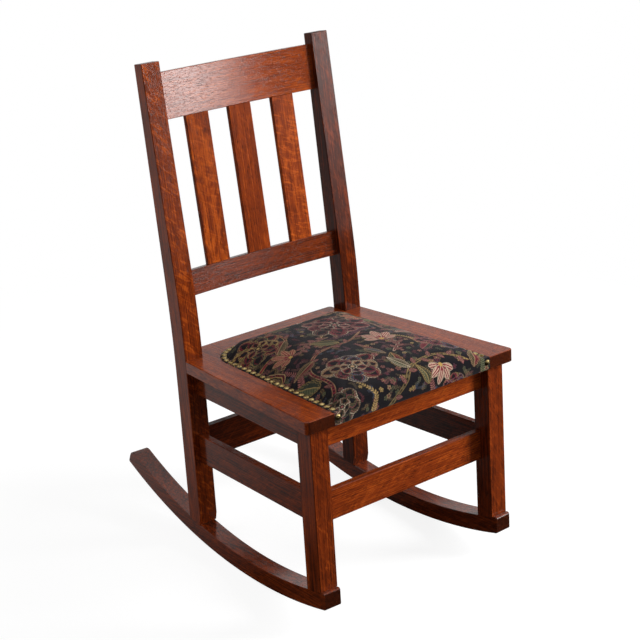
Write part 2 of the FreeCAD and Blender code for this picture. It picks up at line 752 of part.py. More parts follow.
def strap(points, across, lengthwise):
    """A strap of the webbing, extruded across its woven profile."""
    low = [(s, recess_floor + level * webbing_thickness) for s, level in points]
    ring = low + [(s, z + webbing_thickness) for s, z in reversed(low)]
    side = across - webbing_width / 2
    if lengthwise:
        corners = [V(side, s, z) for s, z in ring]
        return Part.Face(Part.makePolygon(corners + corners[:1])).extrude(V(webbing_width, 0, 0))
    corners = [V(s, side, z) for s, z in ring]
    return Part.Face(Part.makePolygon(corners + corners[:1])).extrude(V(0, webbing_width, 0))


webbing_run = (webbing_count - 1) * webbing_pitch
first_x = -webbing_run / 2
first_y = (front_member_back + back_member_front) / 2 - webbing_run / 2
straps = []
for i in range(webbing_count):
    straps.append(strap(strap_profile(front_member_back - webbing_hold, back_member_front + webbing_hold,
                                      first_y, i), first_x + webbing_pitch * i, True))
    y = first_y + webbing_pitch * i
    reach = -member_edge(y + webbing_width / 2) + webbing_hold
    straps.append(strap(strap_profile(-reach, reach, first_x, i + 1), y, False))
keep("seat_webbing", Part.makeCompound(straps), soft_density)

# Hessian over the webbing, inside the hem and behind the front member's face
before_member = box(-leg_outer, leg_outer, frame_front - cut_past, member_front,
                    frame_bottom, frame_top + crown_height)
hessian = panel(hem_width + soft_gap, hessian_bottom, hessian_bottom + hessian_thickness)
keep("seat_hessian", hessian.cut(before_member), soft_density)

# Cover hem: the cover's folded edge, nailed down in the recess along both sides and the back
hem_opening = panel(hem_width, recess_floor - cut_past, hem_top + cut_past)
hem = panel(0, recess_floor, hem_top).cut([hem_opening, before_member])
keep("cover_hem", hem, soft_density)


# Stuffed seat: crowned over the hessian, and drawn down over the front member
def pad_half(y):
    """Half the stuffed width at y, from the outline inside the hem."""
    line = Part.makeLine(V(-leg_outer, y, 0), V(0, y, 0))
    return -line.common(cover_face(hem_width + soft_gap)).BoundBox.XMin


def pad_rise(y):
    """Height of the crown's middle at y: quick to rise at both ends, nearly level between."""
    front = frame_front + pad_end_inset
    back = cover_back - hem_width - soft_gap
    share = min(max((y - front) / (back - front), 0.0), 1.0)
    return pad_end_rise + (crown_height - pad_end_rise) * (4 * share * (1 - share)) ** pad_fullness


def pad_section(y):
    """Closed section across the seat: flat underneath, arcs up the sides and over the top."""
    half = pad_half(y)
    rise = pad_rise(y)
    shoulder = half * pad_shoulder
    low = V(-half, y, pad_base)
    side = V(-(half + shoulder) / 2 - half * pad_side_swell, y, pad_base + rise * pad_side_rise)
    high = V(-shoulder, y, pad_base + rise * pad_shoulder_rise)
    middle = V(0, y, pad_base + rise)
    left = Part.Arc(low, side, high).toShape()
    right = left.mirror(V(0, 0, 0), X_AXIS)
    top = Part.Arc(high, middle, V(shoulder, y, high.z)).toShape()
    base = Part.makeLine(low, V(half, y, pad_base))
    return Part.Wire(Part.__sortEdges__([left, top, right, base]))


pad_length = cover_back - hem_width - soft_gap - frame_front
section_places = [frame_front + pad_end_inset + (pad_length - 3 * pad_end_inset) * (
    1 - math.cos(math.pi * i / (pad_sections - 1))) / 2 for i in range(pad_sections)]
pad = Part.makeLoft([pad_section(y) for y in section_places], True, True)
front_wrap = box(-front_half(soft_gap), front_half(soft_gap), frame_front, frame_front + cover_thickness,
                 frame_bottom, pad_base)
lip = box(-front_half(hem_width + soft_gap), front_half(hem_width + soft_gap), frame_front,
          frame_front + cover_thickness, pad_base, pad_base + pad_end_rise / 2)
keep("seat_pad", pad.fuse([front_wrap, lip]).removeSplitter(), soft_density)


# Nails: domed brass heads along the hem, and one at each front corner
def ring(sides, width, z):
    """Corners of a regular polygon about the Z axis, as wide as given across its corners."""
    turns = [2 * math.pi * i / sides for i in range(sides)]
    return [V(width / 2 * math.cos(turn), width / 2 * math.sin(turn), z) for turn in turns]


def faceted(rings, apex):
    """A solid with flat faces: its first ring closes it below, and the rings draw in to a point."""
    faces = [rings[0]]
    for low, high in zip(rings, rings[1:]):
        faces += [[low[i - 1], low[i], high[i], high[i - 1]] for i in range(len(low))]
    faces += [[rings[-1][i - 1], rings[-1][i], apex] for i in range(len(rings[-1]))]
    solid = Part.Solid(Part.Shell([Part.Face(Part.makePolygon(corners + corners[:1])) for corners in faces]))
    return solid if solid.Volume > 0 else solid.reversed()


nail_shank_solid = faceted([ring(4, nail_shank * math.sqrt(2), 0)], V(0, 0, -nail_length))
nail_solid = faceted([ring(nail_sides, nail_head, 0), ring(nail_sides, nail_crown, nail_crown_height)],
                     V(0, 0, nail_head_height)).fuse(nail_shank_solid)


def driven(shape, place, way):
    """A nail, or its shank, with the underside of its head at the place, driven the way given."""
    put = shape.copy()
    put.Placement = FreeCAD.Placement(place, FreeCAD.Rotation(Z_AXIS, way))
    return put


nail_line = Part.Wire(Part.__sortEdges__(cover_outline(nail_inset)))
nail_count = int(round((nail_line.Length - nail_head) / nail_pitch)) + 1
nail_points = nail_line.discretize(nail_count + 2)[1:-1]    # none on the line's two ends
nail_places = [(V(p.x, p.y, hem_top), Z_AXIS) for p in nail_points]
nail_places += [(V(side * front_half(nail_inset), frame_front, frame_top - front_nail_drop), V(0, -1, 0))
                for side in (-1, 1)]
nail_holes = Part.makeCompound([driven(nail_shank_solid, place, way) for place, way in nail_places])
keep("cover_nails", Part.makeCompound([driven(nail_solid, place, way) for place, way in nail_places]),
     brass_density)
for name in ("seat_side_member_left", "seat_side_member_right", "seat_back_member", "seat_front_member",
             "cover_hem", "seat_pad"):
    nodes[name] = nodes[name].cut(nail_holes)

# Rest: the centre of mass hangs below the centre of the runners' arc, and the runners touch Z = 0
total = sum(shape.Volume * densities[name] for name, shape in nodes.items())
moment = V(0, 0, 0)
for name, shape in nodes.items():
    for solid in shape.Solids:
        moment = moment + solid.CenterOfMass * (solid.Volume * densities[name] / total)
lean = math.degrees(math.atan2(moment.y - runner_centre_y, runner_centre_z - moment.z))
print("mass", round(total, 2), "centre", moment, "lean", round(lean, 2))
rest = FreeCAD.Placement(V(0, 0, 0), FreeCAD.Rotation(X_AXIS, -lean), V(0, runner_centre_y, runner_centre_z))
outermost = Part.makeCompound([nodes[name] for name in ("runner_left", "back_post_left", "crest_rail")])
outermost.Placement = rest
bounds = outermost.optimalBoundingBox(False)
shift = V(0, -(bounds.YMin + bounds.YMax) / 2, -bounds.ZMin)
print("bounds", bounds, "shift", shift)
for name, shape in nodes.items():
    placed = shape.copy()
    placed.Placement = rest.multiply(placed.Placement)
    placed.translate(shift)
    if not placed.isValid():
        print("not valid:", name)
    placed.exportStep("parts/" + name + ".step")
print("pieces", len(nodes))
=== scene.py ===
import math

import bpy
import numpy as np
from mathutils import Matrix, Vector


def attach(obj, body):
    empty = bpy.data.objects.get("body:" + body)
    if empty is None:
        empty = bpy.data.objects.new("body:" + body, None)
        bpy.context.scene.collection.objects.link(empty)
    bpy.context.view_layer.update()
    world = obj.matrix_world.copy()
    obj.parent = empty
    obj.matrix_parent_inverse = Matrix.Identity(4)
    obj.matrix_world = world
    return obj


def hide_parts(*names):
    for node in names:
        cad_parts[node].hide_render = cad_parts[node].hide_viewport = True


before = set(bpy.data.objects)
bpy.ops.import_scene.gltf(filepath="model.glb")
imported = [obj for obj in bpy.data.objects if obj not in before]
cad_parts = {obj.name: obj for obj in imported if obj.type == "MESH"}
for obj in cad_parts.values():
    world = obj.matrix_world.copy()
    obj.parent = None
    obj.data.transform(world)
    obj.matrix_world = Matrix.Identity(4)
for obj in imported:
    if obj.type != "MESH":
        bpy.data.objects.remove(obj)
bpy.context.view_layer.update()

scene = bpy.context.scene
scene.view_settings.view_transform = "Standard"

camera_data = bpy.data.cameras.new("camera")
camera_data.sensor_width = 36.0
camera_data.lens = 90.33
camera = bpy.data.objects.new("camera", camera_data)
camera.location = (-1.57571, -2.01717, 1.45490)
camera.rotation_euler = [math.radians(turn) for turn in (67.5102, 0.6245, -38.8198)]
scene.collection.objects.link(camera)
scene.camera = camera


def linear(colour):
    """An sRGB hex colour as linear RGBA.

    Each channel is divided by 12.92 up to 0.04045, and above that follows the 2.4 power curve.
    """
    channels = [int(colour[i:i + 2], 16) / 255 for i in (1, 3, 5)]
    return tuple(c / 12.92 if c <= 0.04045 else ((c + 0.055) / 1.055) ** 2.4 for c in channels) + (1.0,)


def add(tree, kind, inputs=None, **settings):
    """Adds a node: settings are its own properties; inputs gives its sockets values or other nodes' sockets."""
    node = tree.nodes.new(kind)
    for key, value in settings.items():
        setattr(node, key, value)
    for key, value in (inputs or {}).items():
        if isinstance(value, bpy.types.NodeSocket):
            tree.links.new(value, node.inputs[key])
        else:
            node.inputs[key].default_value = value
    return node


def blank(name):
    """A new material with an empty node tree and its output node."""
    material = bpy.data.materials.new(name)
    material.use_nodes = True
    material.node_tree.nodes.clear()
    return material, material.node_tree, add(material.node_tree, "ShaderNodeOutputMaterial")


def softbox(name, place, target, width, height, power):
    """A rectangular lamp turned to face a target; gloss doesn't show it, but the world's own panel instead."""
    lamp = bpy.data.lights.new(name, "AREA")
    lamp.shape = "RECTANGLE"
    lamp.size = width
    lamp.size_y = height
    lamp.energy = power
    holder = bpy.data.objects.new(name, lamp)
    holder.location = place
    holder.rotation_euler = (Vector(target) - Vector(place)).to_track_quat("-Z", "Y").to_euler()
    holder.visible_glossy = False
    scene.collection.objects.link(holder)


softbox("key_softbox", (1.84, -1.36, 1.22), (0.0, 0.1, 0.5), 0.75, 1.3, 90.0)
softbox("left_softbox", (-1.7, 0.5, 2.0), (0.0, 0.0, 0.5), 1.4, 1.4, 18.0)

world = bpy.data.worlds.new("studio")
world.use_nodes = True
scene.world = world
sky = world.node_tree
sky.nodes.clear()
path = add(sky, "ShaderNodeLightPath")
sky_direction = add(sky, "ShaderNodeTexCoord")
sky_parts = add(sky, "ShaderNodeSeparateXYZ", {"Vector": sky_direction.outputs["Generated"]})
# what gloss shows: behind the chair a white card that fades upward, in front of it to the right a bright
# upright panel with soft edges, a pale ceiling, and a dark room elsewhere
room_light = 0.26
panel_light = 14.5
ceiling_light = 1.1
dark_side = 0.04
behind = add(sky, "ShaderNodeMath", {0: sky_parts.outputs["Y"], 1: 0.0}, operation="GREATER_THAN")
card_side = add(sky, "ShaderNodeMath", {0: sky_parts.outputs["X"], 1: 2.7, 2: 3.0}, operation="MULTIPLY_ADD")
card_top = add(sky, "ShaderNodeMath", {0: sky_parts.outputs["Z"], 1: -14.0, 2: card_side.outputs[0]},
               operation="MULTIPLY_ADD", use_clamp=True)
panel = panel_light
for axis, start, end, first, last in (("X", 0.54, 0.64, 0.0, 1.0), ("X", 0.67, 0.78, 1.0, 0.2),
                                      ("Z", 0.0, 0.09, 0.25, 1.0), ("Z", 0.3, 0.6, 1.0, 0.0)):
    edge = add(sky, "ShaderNodeMapRange", {"Value": sky_parts.outputs[axis], "From Min": start, "From Max": end,
                                           "To Min": first, "To Max": last})
    panel = add(sky, "ShaderNodeMath", {0: panel, 1: edge.outputs[0]}, operation="MULTIPLY").outputs[0]
panel = add(sky, "ShaderNodeMath", {0: panel, 1: dark_side}, operation="ADD").outputs[0]
in_gloss = add(sky, "ShaderNodeMix", {"Factor": behind.outputs[0], "A": panel, "B": card_top.outputs[0]})
ceiling = add(sky, "ShaderNodeMapRange", {"Value": sky_parts.outputs["Z"], "From Min": 0.42, "From Max": 0.6,
                                          "To Min": 0.0, "To Max": ceiling_light})
in_gloss = add(sky, "ShaderNodeMath", {0: in_gloss.outputs[0], 1: ceiling.outputs[0]}, operation="MAXIMUM")
level = add(sky, "ShaderNodeMix", {"Factor": path.outputs["Is Glossy Ray"], "A": room_light,
                                   "B": in_gloss.outputs[0]})
seen = add(sky, "ShaderNodeMath", {0: path.outputs["Is Camera Ray"], 1: path.outputs["Is Transmission Ray"]},
           operation="MAXIMUM")
level = add(sky, "ShaderNodeMix", {"Factor": seen.outputs[0], "A": level.outputs[0], "B": 1.0})
room = add(sky, "ShaderNodeBackground", {"Color": linear("#ffffff"), "Strength": level.outputs[0]})
add(sky, "ShaderNodeOutputWorld", {"Surface": room.outputs[0]})

# paper floor, half a millimetre under the runners: shaded close to the chair, pure white farther off
floor_level = -0.0005
floor_mesh = bpy.data.meshes.new("floor")
floor_mesh.from_pydata([(x, y, floor_level) for x, y in ((-9, -9), (9, -9), (9, 9), (-9, 9))], [], [(0, 1, 2, 3)])
floor = bpy.data.objects.new("floor", floor_mesh)
scene.collection.objects.link(floor)
paper, tree, out = blank("white_paper_floor")
path = add(tree, "ShaderNodeLightPath")
paper_tone = add(tree, "ShaderNodeMix", {"Factor": path.outputs["Is Camera Ray"], "A": linear("#7c7c7c"),
                                         "B": linear("#ffffff")}, data_type="RGBA")
paper_tone = add(tree, "ShaderNodeMix", {"Factor": path.outputs["Is Glossy Ray"],
                                         "A": paper_tone.outputs["Result"], "B": linear("#202020")},
                 data_type="RGBA")
matte = add(tree, "ShaderNodeBsdfDiffuse", {"Color": paper_tone.outputs["Result"]})
floor_place = add(tree, "ShaderNodeTexCoord")
floor_parts = add(tree, "ShaderNodeSeparateXYZ", {"Vector": floor_place.outputs["Object"]})
far_off = add(tree, "ShaderNodeVectorMath", {0: floor_place.outputs["Object"]}, operation="LENGTH")
shaded = add(tree, "ShaderNodeMapRange", {"Value": far_off.outputs["Value"], "From Min": 0.5, "From Max": 1.4,
                                          "To Min": 0.2, "To Max": 0.0})
white = add(tree, "ShaderNodeMath", {0: shaded.outputs[0], 1: 0.45, 2: 1.0}, operation="MULTIPLY_ADD")
glow = add(tree, "ShaderNodeEmission", {"Color": linear("#ffffff"), "Strength": white.outputs[0]})
plain = add(tree, "ShaderNodeMath", {0: 1.0, 1: shaded.outputs[0]}, operation="SUBTRACT")
paper_back = add(tree, "ShaderNodeMapRange", {"Value": floor_parts.outputs["Y"], "From Min": -0.1, "From Max": 0.7,
                                              "To Min": 0.0, "To Max": 0.6})
in_gloss = add(tree, "ShaderNodeMath", {0: path.outputs["Is Glossy Ray"], 1: paper_back.outputs[0]},
               operation="MULTIPLY")
share = add(tree, "ShaderNodeMath", {0: path.outputs["Is Camera Ray"], 1: plain.outputs[0], 2: in_gloss.outputs[0]},
            operation="MULTIPLY_ADD")
mix = add(tree, "ShaderNodeMixShader", {0: share.outputs[0], 1: matte.outputs[0], 2: glow.outputs[0]})
tree.links.new(mix.outputs[0], out.inputs["Surface"])
floor_mesh.materials.append(paper)

# The chair is measured on the bench, standing square on its legs: millimetres, X across, Y from the
# front legs back, Z up from their feet. At rest it leans back on its runners by the lean below.
lean = math.radians(4.5609)
runner_centre = (202.5, 855.048)
rest_shift = (-227.4107, 53.9832)


def at_rest(points):
    """Bench millimetres to the row's metres: turned about the runners' centre by the lean, then shifted."""
    points = np.asarray(points, float)
    y = points[..., 1] - runner_centre[0]
    z = points[..., 2] - runner_centre[1]
    turned_y = y * math.cos(lean) + z * math.sin(lean)
    turned_z = z * math.cos(lean) - y * math.sin(lean)
    return np.stack([points[..., 0], turned_y + runner_centre[0] + rest_shift[0],
                     turned_z + runner_centre[1] + rest_shift[1]], -1) / 1000


def way_at_rest(x, y, z):
    """A bench direction as a direction in the row's frame."""
    return Vector((x, y * math.cos(lean) + z * math.sin(lean), z * math.cos(lean) - y * math.sin(lean)))


# Oak: quarter-sawn white oak, fumed and stained reddish brown, under a clear gloss lacquer. Straight
# dark pore lines run with the grain, and on the wide faces the rays cross it as paler flecks.
def oak(name, along, face, tone=0.0, fleck=0.6, place=0.0, fleck_turn=35.0, figure=0.0, lacquer=0.7):
    """Stained oak whose grain runs along one direction and whose quarter face has the other as its normal.

    The pattern's own axes are the grain, the width and the depth of the board, in millimetres; place
    moves it so that no two boards match. Tone lifts or lowers the stain, fleck is the strength of the
    rays and fleck_turn their slant, figure adds to the flame, and lacquer is how much coat is left.
    """
    material, tree, out = blank(name)
    grain = Vector(along).normalized()
    depth = (Vector(face) - grain * Vector(face).dot(grain)).normalized()
    width = depth.cross(grain)
    turn = Matrix((grain, width, depth)).to_euler()
    coords = add(tree, "ShaderNodeTexCoord")
    board = add(tree, "ShaderNodeMapping", {
        "Vector": coords.outputs["Object"], "Rotation": turn, "Scale": (1000, 1000, 1000),
        "Location": (713 * place, 131 * place, 57 * place)})

    # growth layers, 2 mm across and 150 mm long
    layer_map = add(tree, "ShaderNodeMapping", {"Vector": board.outputs[0], "Scale": (0.007, 0.6, 0.25)})
    layers = add(tree, "ShaderNodeTexNoise", {"Vector": layer_map.outputs[0], "Scale": 1.0, "Detail": 4.0,
                                              "Roughness": 0.6, "Distortion": 0.25})
    # pores, 8 mm long; 0.3 mm wide in the wood, drawn 0.8 mm wide so that they show
    pore_map = add(tree, "ShaderNodeMapping", {"Vector": board.outputs[0], "Scale": (0.11, 1.25, 1.25)})
    pore_noise = add(tree, "ShaderNodeTexNoise", {"Vector": pore_map.outputs[0], "Scale": 1.0, "Detail": 1.5})
    pores = add(tree, "ShaderNodeMapRange", {"Value": pore_noise.outputs[0], "From Min": 0.56, "From Max": 0.68})
    # rays, crossing the grain in bands 5 mm wide and 25 mm long
    ray_turn = add(tree, "ShaderNodeMapping", {"Vector": board.outputs[0],
                                               "Rotation": (0, 0, math.radians(fleck_turn))})
    ray_map = add(tree, "ShaderNodeMapping", {"Vector": ray_turn.outputs[0], "Scale": (0.035, 0.16, 0.02)})
    ray_noise = add(tree, "ShaderNodeTexNoise", {"Vector": ray_map.outputs[0], "Scale": 1.0, "Detail": 3.0,
                                                 "Roughness": 0.55, "Distortion": 0.9})
    rays = add(tree, "ShaderNodeMapRange", {"Value": ray_noise.outputs[0], "From Min": 0.5, "From Max": 0.64})
    quarter = add(tree, "ShaderNodeVectorMath", {0: coords.outputs["Normal"], 1: depth}, operation="DOT_PRODUCT")
    quarter = add(tree, "ShaderNodeMath", {0: quarter.outputs["Value"]}, operation="ABSOLUTE")
    rays = add(tree, "ShaderNodeMath", {0: rays.outputs[0], 1: quarter.outputs[0]}, operation="MULTIPLY")
    # broad flame figure and the uneven take-up of the stain, 40 to 90 mm
    flame_map = add(tree, "ShaderNodeMapping", {"Vector": board.outputs[0], "Scale": (0.016, 0.05, 0.03)})
    flame_noise = add(tree, "ShaderNodeTexNoise", {"Vector": flame_map.outputs[0], "Scale": 1.0, "Detail": 2.5,
                                                   "Distortion": 1.6})

    # each pattern lifts the stain toward its light end, and what they lift it on average comes off
    # again, so that tone says how dark the board is
    flame_gain = 0.45 + figure
    share = tone - 0.1 - 0.5 * flame_gain - 0.15 * fleck
    for pattern, gain in ((layers, 1.2), (rays, 0.36 * fleck), (flame_noise, flame_gain)):
        share = add(tree, "ShaderNodeMath", {0: pattern.outputs[0], 1: gain, 2: share},
                    operation="MULTIPLY_ADD").outputs[0]
    stain = add(tree, "ShaderNodeValToRGB", {"Fac": share})
    ramp = stain.color_ramp
    ramp.elements[0].position = 0.12
    ramp.elements[0].color = linear("#3c1609")
    ramp.elements[1].position = 0.92
    ramp.elements[1].color = linear("#bb571b")
    ramp.elements.new(0.5).color = linear("#81330f")
    pore_share = add(tree, "ShaderNodeMath", {0: pores.outputs[0], 1: 0.75}, operation="MULTIPLY")
    colour = add(tree, "ShaderNodeMix", {"Factor": pore_share.outputs[0], "A": stain.outputs[0],
                                         "B": linear("#260d06")}, data_type="RGBA")
    # end grain drinks the stain and comes out darker
    end = add(tree, "ShaderNodeVectorMath", {0: coords.outputs["Normal"], 1: grain}, operation="DOT_PRODUCT")
    end = add(tree, "ShaderNodeMath", {0: end.outputs["Value"]}, operation="ABSOLUTE")
    end = add(tree, "ShaderNodeMapRange", {"Value": end.outputs[0], "From Min": 0.8, "From Max": 0.95,
                                           "To Max": 0.8})
    colour = add(tree, "ShaderNodeMix", {"Factor": end.outputs[0], "A": colour.outputs["Result"],
                                         "B": linear("#1e0b05")}, data_type="RGBA")
    depth_of = add(tree, "ShaderNodeMath", {0: pores.outputs[0], 1: -1.0, 2: layers.outputs[0]},
                   operation="MULTIPLY_ADD")
    bump = add(tree, "ShaderNodeBump", {"Height": depth_of.outputs[0], "Strength": 0.5, "Distance": 0.0003})
    # the lacquer nearly fills the pores, so its own surface is smoother, and shows the light's edges softly
    film = add(tree, "ShaderNodeBump", {"Height": depth_of.outputs[0], "Strength": 0.3, "Distance": 0.00015})
    gloss = add(tree, "ShaderNodeMapRange", {"Value": layers.outputs[0], "To Min": 0.45, "To Max": 0.6})
    shader = add(tree, "ShaderNodeBsdfPrincipled", {
        "Base Color": colour.outputs["Result"], "Roughness": gloss.outputs[0], "Normal": bump.outputs[0],
        "IOR": 1.5, "Specular IOR Level": 0.04, "Coat Weight": lacquer, "Coat Roughness": 0.1,
        "Coat Normal": film.outputs[0]})
    tree.links.new(shader.outputs[0], out.inputs["Surface"])
    return material


def finish_node(node, material):
    """Gives a CAD piece its material."""
    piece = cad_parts[node]
    piece.data.materials.clear()
    piece.data.materials.append(material)


up = way_at_rest(0, 0, 1)
back = way_at_rest(0, 1, 0)
across = Vector((1, 0, 0))
rake = math.radians(6.7)
raked = way_at_rest(0, math.sin(rake), math.cos(rake))
raked_back = way_at_rest(0, math.cos(rake), -math.sin(rake))

# Runners: sawn to their arc from straight boards, so the grain runs out of the curve at both ends;
# each is pegged to its leg and post with two oak dowels, whose ends don't show.
finish_node("runner_left", oak("oak_runner_left", back, across, tone=-0.16, fleck=0.25, place=1.0))
finish_node("runner_right", oak("oak_runner_right", back, across, tone=-0.16, fleck=0.25, place=2.0))

# Front legs: square oak, quartered on the front face. Each takes the tenons of the front and side rails
# and stretchers, and its foot is coped over the runner.
finish_node("front_leg_left", oak("oak_front_leg_left", up, back, tone=-0.08, fleck=0.45, place=3.0))
finish_node("front_leg_right", oak("oak_front_leg_right", up, back, tone=-0.1, fleck=0.45, place=4.0))

# Back posts: each sawn to its bend from one plank, quartered on the front face, where the rays stand
# out as slanting flecks.
post_way = (up + raked).normalized()
finish_node("back_post_left", oak("oak_back_post_left", post_way, raked_back, tone=0.02, fleck=0.8, place=5.0,
                                  fleck_turn=48.0, lacquer=0.6))
finish_node("back_post_right", oak("oak_back_post_right", post_way, raked_back, tone=-0.3, fleck=0.35, place=6.0,
                                   lacquer=0.3))

# Stretchers and seat rails: plain boards on edge, tenoned into the legs and posts. The side ones toe in
# with the runners. The back stretcher's low tone is painted shade: it is darkened for the shade it lies in
# at the back of the chair. The back seat rail is also a little darker.
for number, node in enumerate(("side_seat_rail_left", "side_seat_rail_right", "side_stretcher_left",
                               "side_stretcher_right")):
    finish_node(node, oak("oak_" + node, back, across, tone=-0.18, fleck=0.3, place=7.0 + number))
for number, (node, tone) in enumerate((("front_seat_rail", 0.08), ("back_seat_rail", -0.15),
                                       ("front_stretcher", 0.04), ("back_stretcher", -0.3))):
    finish_node(node, oak("oak_" + node, across, back, tone=tone, fleck=0.35, place=11.0 + number))

# Back: bowed crest and lower rail, tenoned into the posts, and three flat slats tenoned into them. The
# slats have the boldest figure of the chair and the least lacquer, the crest the most.
finish_node("crest_rail", oak("oak_crest_rail", across, raked_back, tone=0.04, fleck=0.2, place=15.0, lacquer=1.0))
finish_node("lower_back_rail", oak("oak_lower_back_rail", across, raked_back, tone=-0.18, fleck=0.3, place=16.0,
                                   lacquer=0.6))
finish_node("back_slat_left", oak("oak_back_slat_left", raked, raked_back, tone=0.10, fleck=0.5, place=17.0,
                                  fleck_turn=62.0, figure=0.9, lacquer=0.2))
finish_node("back_slat_centre", oak("oak_back_slat_centre", raked, raked_back, tone=-0.04, fleck=0.2, place=18.0,
                                     lacquer=0.1))
finish_node("back_slat_right", oak("oak_back_slat_right", raked, raked_back, tone=0.12, fleck=0.8, place=19.0,
                                   fleck_turn=70.0, figure=0.3, lacquer=0.1))

# Seat frame: wide flat-sawn side members notched round the posts, with the front and back members
# tenoned between. It lies on the legs and rails, and a recess in it takes the upholstery.
for number, node in enumerate(("seat_side_member_left", "seat_side_member_right")):
    finish_node(node, oak("oak_" + node, back, up, tone=0.02, fleck=0.3, place=20.0 + number, fleck_turn=75.0))
for number, node in enumerate(("seat_front_member", "seat_back_member")):
    finish_node(node, oak("oak_" + node, across, up, tone=0.02, fleck=0.25, place=22.0 + number))


# Corner blocks and dowels: the same oak left bare, with a little of the stain wiped on. The blocks are
# glued into the frame's corners from below, and the dowels peg the feet to the runners.
def bare_oak(name, along):
    """Unfinished oak: pale brown, with fine lines along the grain and no lacquer."""
    material, tree, out = blank(name)
    grain = Vector(along).normalized()
    width = grain.orthogonal().normalized()
    coords = add(tree, "ShaderNodeTexCoord")
    board = add(tree, "ShaderNodeMapping", {"Vector": coords.outputs["Object"], "Scale": (1000, 1000, 1000),
                                            "Rotation": Matrix((grain, width, grain.cross(width))).to_euler()})
    line_map = add(tree, "ShaderNodeMapping", {"Vector": board.outputs[0], "Scale": (0.02, 0.6, 0.6)})
    lines = add(tree, "ShaderNodeTexNoise", {"Vector": line_map.outputs[0], "Scale": 1.0, "Detail": 4.0})
    colour = add(tree, "ShaderNodeMix", {"Factor": lines.outputs[0], "A": linear("#7a5230"),
                                         "B": linear("#b98a58")}, data_type="RGBA")
    bump = add(tree, "ShaderNodeBump", {"Height": lines.outputs[0], "Strength": 0.3, "Distance": 0.0003})
    shader = add(tree, "ShaderNodeBsdfPrincipled", {"Base Color": colour.outputs["Result"], "Roughness": 0.7,
                                                    "Normal": bump.outputs[0]})
    tree.links.new(shader.outputs[0], out.inputs["Surface"])
    return material


block_oak = bare_oak("bare_oak_blocks", across)
for node in ("corner_block_front_left", "corner_block_front_right", "corner_block_back_left",
             "corner_block_back_right"):
    finish_node(node, block_oak)
finish_node("runner_dowels", bare_oak("bare_oak_dowels", up))

# Screws: plain countersunk steel, dulled with age, driven up through the corner blocks to hold the
# seat frame down.
screw_steel, tree, out = blank("dull_steel_screws")
coords = add(tree, "ShaderNodeTexCoord")
age = add(tree, "ShaderNodeTexNoise", {"Vector": coords.outputs["Object"], "Scale": 700.0, "Detail": 3.0})
steel_colour = add(tree, "ShaderNodeMix", {"Factor": age.outputs[0], "A": linear("#5c5a57"),
                                           "B": linear("#9b9995")}, data_type="RGBA")
steel_gloss = add(tree, "ShaderNodeMapRange", {"Value": age.outputs[0], "To Min": 0.35, "To Max": 0.6})
shader = add(tree, "ShaderNodeBsdfPrincipled", {"Base Color": steel_colour.outputs["Result"], "Metallic": 1.0,
                                                "Roughness": steel_gloss.outputs[0]})
tree.links.new(shader.outputs[0], out.inputs["Surface"])
finish_node("frame_screws", screw_steel)


# Webbing and hessian: jute straps interlaced over the seat's opening, with plain hessian tacked over
# them to hold the stuffing. They show only from below.
def woven_jute(name, pitch_mm, dark, light):
    """Plain weave: the product of two sets of ridges, along X and along Y, a thread's pitch apart."""
    material, tree, out = blank(name)
    coords = add(tree, "ShaderNodeTexCoord")
    threads = add(tree, "ShaderNodeMapping", {"Vector": coords.outputs["Object"],
                                              "Scale": (math.pi * 1000 / pitch_mm,) * 3})
    parts = add(tree, "ShaderNodeSeparateXYZ", {"Vector": threads.outputs[0]})
    warp = add(tree, "ShaderNodeMath", {0: parts.outputs["X"]}, operation="SINE")
    weft = add(tree, "ShaderNodeMath", {0: parts.outputs["Y"]}, operation="SINE")
    weave = add(tree, "ShaderNodeMath", {0: warp.outputs[0], 1: weft.outputs[0]}, operation="MULTIPLY")
    slub_map = add(tree, "ShaderNodeMapping", {"Vector": coords.outputs["Object"], "Scale": (90, 700, 90)})
    slubs = add(tree, "ShaderNodeTexNoise", {"Vector": slub_map.outputs[0], "Scale": 1.0, "Detail": 3.0})
    shade = add(tree, "ShaderNodeMath", {0: weave.outputs[0], 1: 0.3, 2: slubs.outputs[0]},
                operation="MULTIPLY_ADD")
    colour = add(tree, "ShaderNodeMix", {"Factor": shade.outputs[0], "A": linear(dark), "B": linear(light)},
                 data_type="RGBA")
    bump = add(tree, "ShaderNodeBump", {"Height": weave.outputs[0], "Strength": 0.6, "Distance": 0.0005})
    shader = add(tree, "ShaderNodeBsdfPrincipled", {"Base Color": colour.outputs["Result"], "Roughness": 0.9,
                                                    "Normal": bump.outputs[0]})
    tree.links.new(shader.outputs[0], out.inputs["Surface"])
    return material


finish_node("seat_webbing", woven_jute("jute_webbing", 2.5, "#7d6238", "#c2a573"))
finish_node("seat_hessian", woven_jute("hessian_cloth", 1.6, "#6e5836", "#a98f64"))

# Seat cover: tapestry drawn over the stuffing and over the front member. Its hem lies in the frame's
# shallow recess; the crown rises steeply from the nails and is nearly level in the middle. Bench sizes.
cover_front = -12.0
cover_back = 356.0
cover_half = 167.0
cover_taper = 18.0
corner_radius = 62.0
hem_width = 12.0
hem_level = 301.4
recess_floor = 298.0
member_bottom = 279.0
member_face = -9.3
crown = 31.0
crown_reach = 20.0
front_lead = 8.0
nail_pitch = 14.0
most_moved = 6.0
clearance = 0.1
cloth_drop = 1.0
face_bulge = 1.6
edge_turn = 1.5
pucker_depth = 0.6
pucker_reach = 9.0


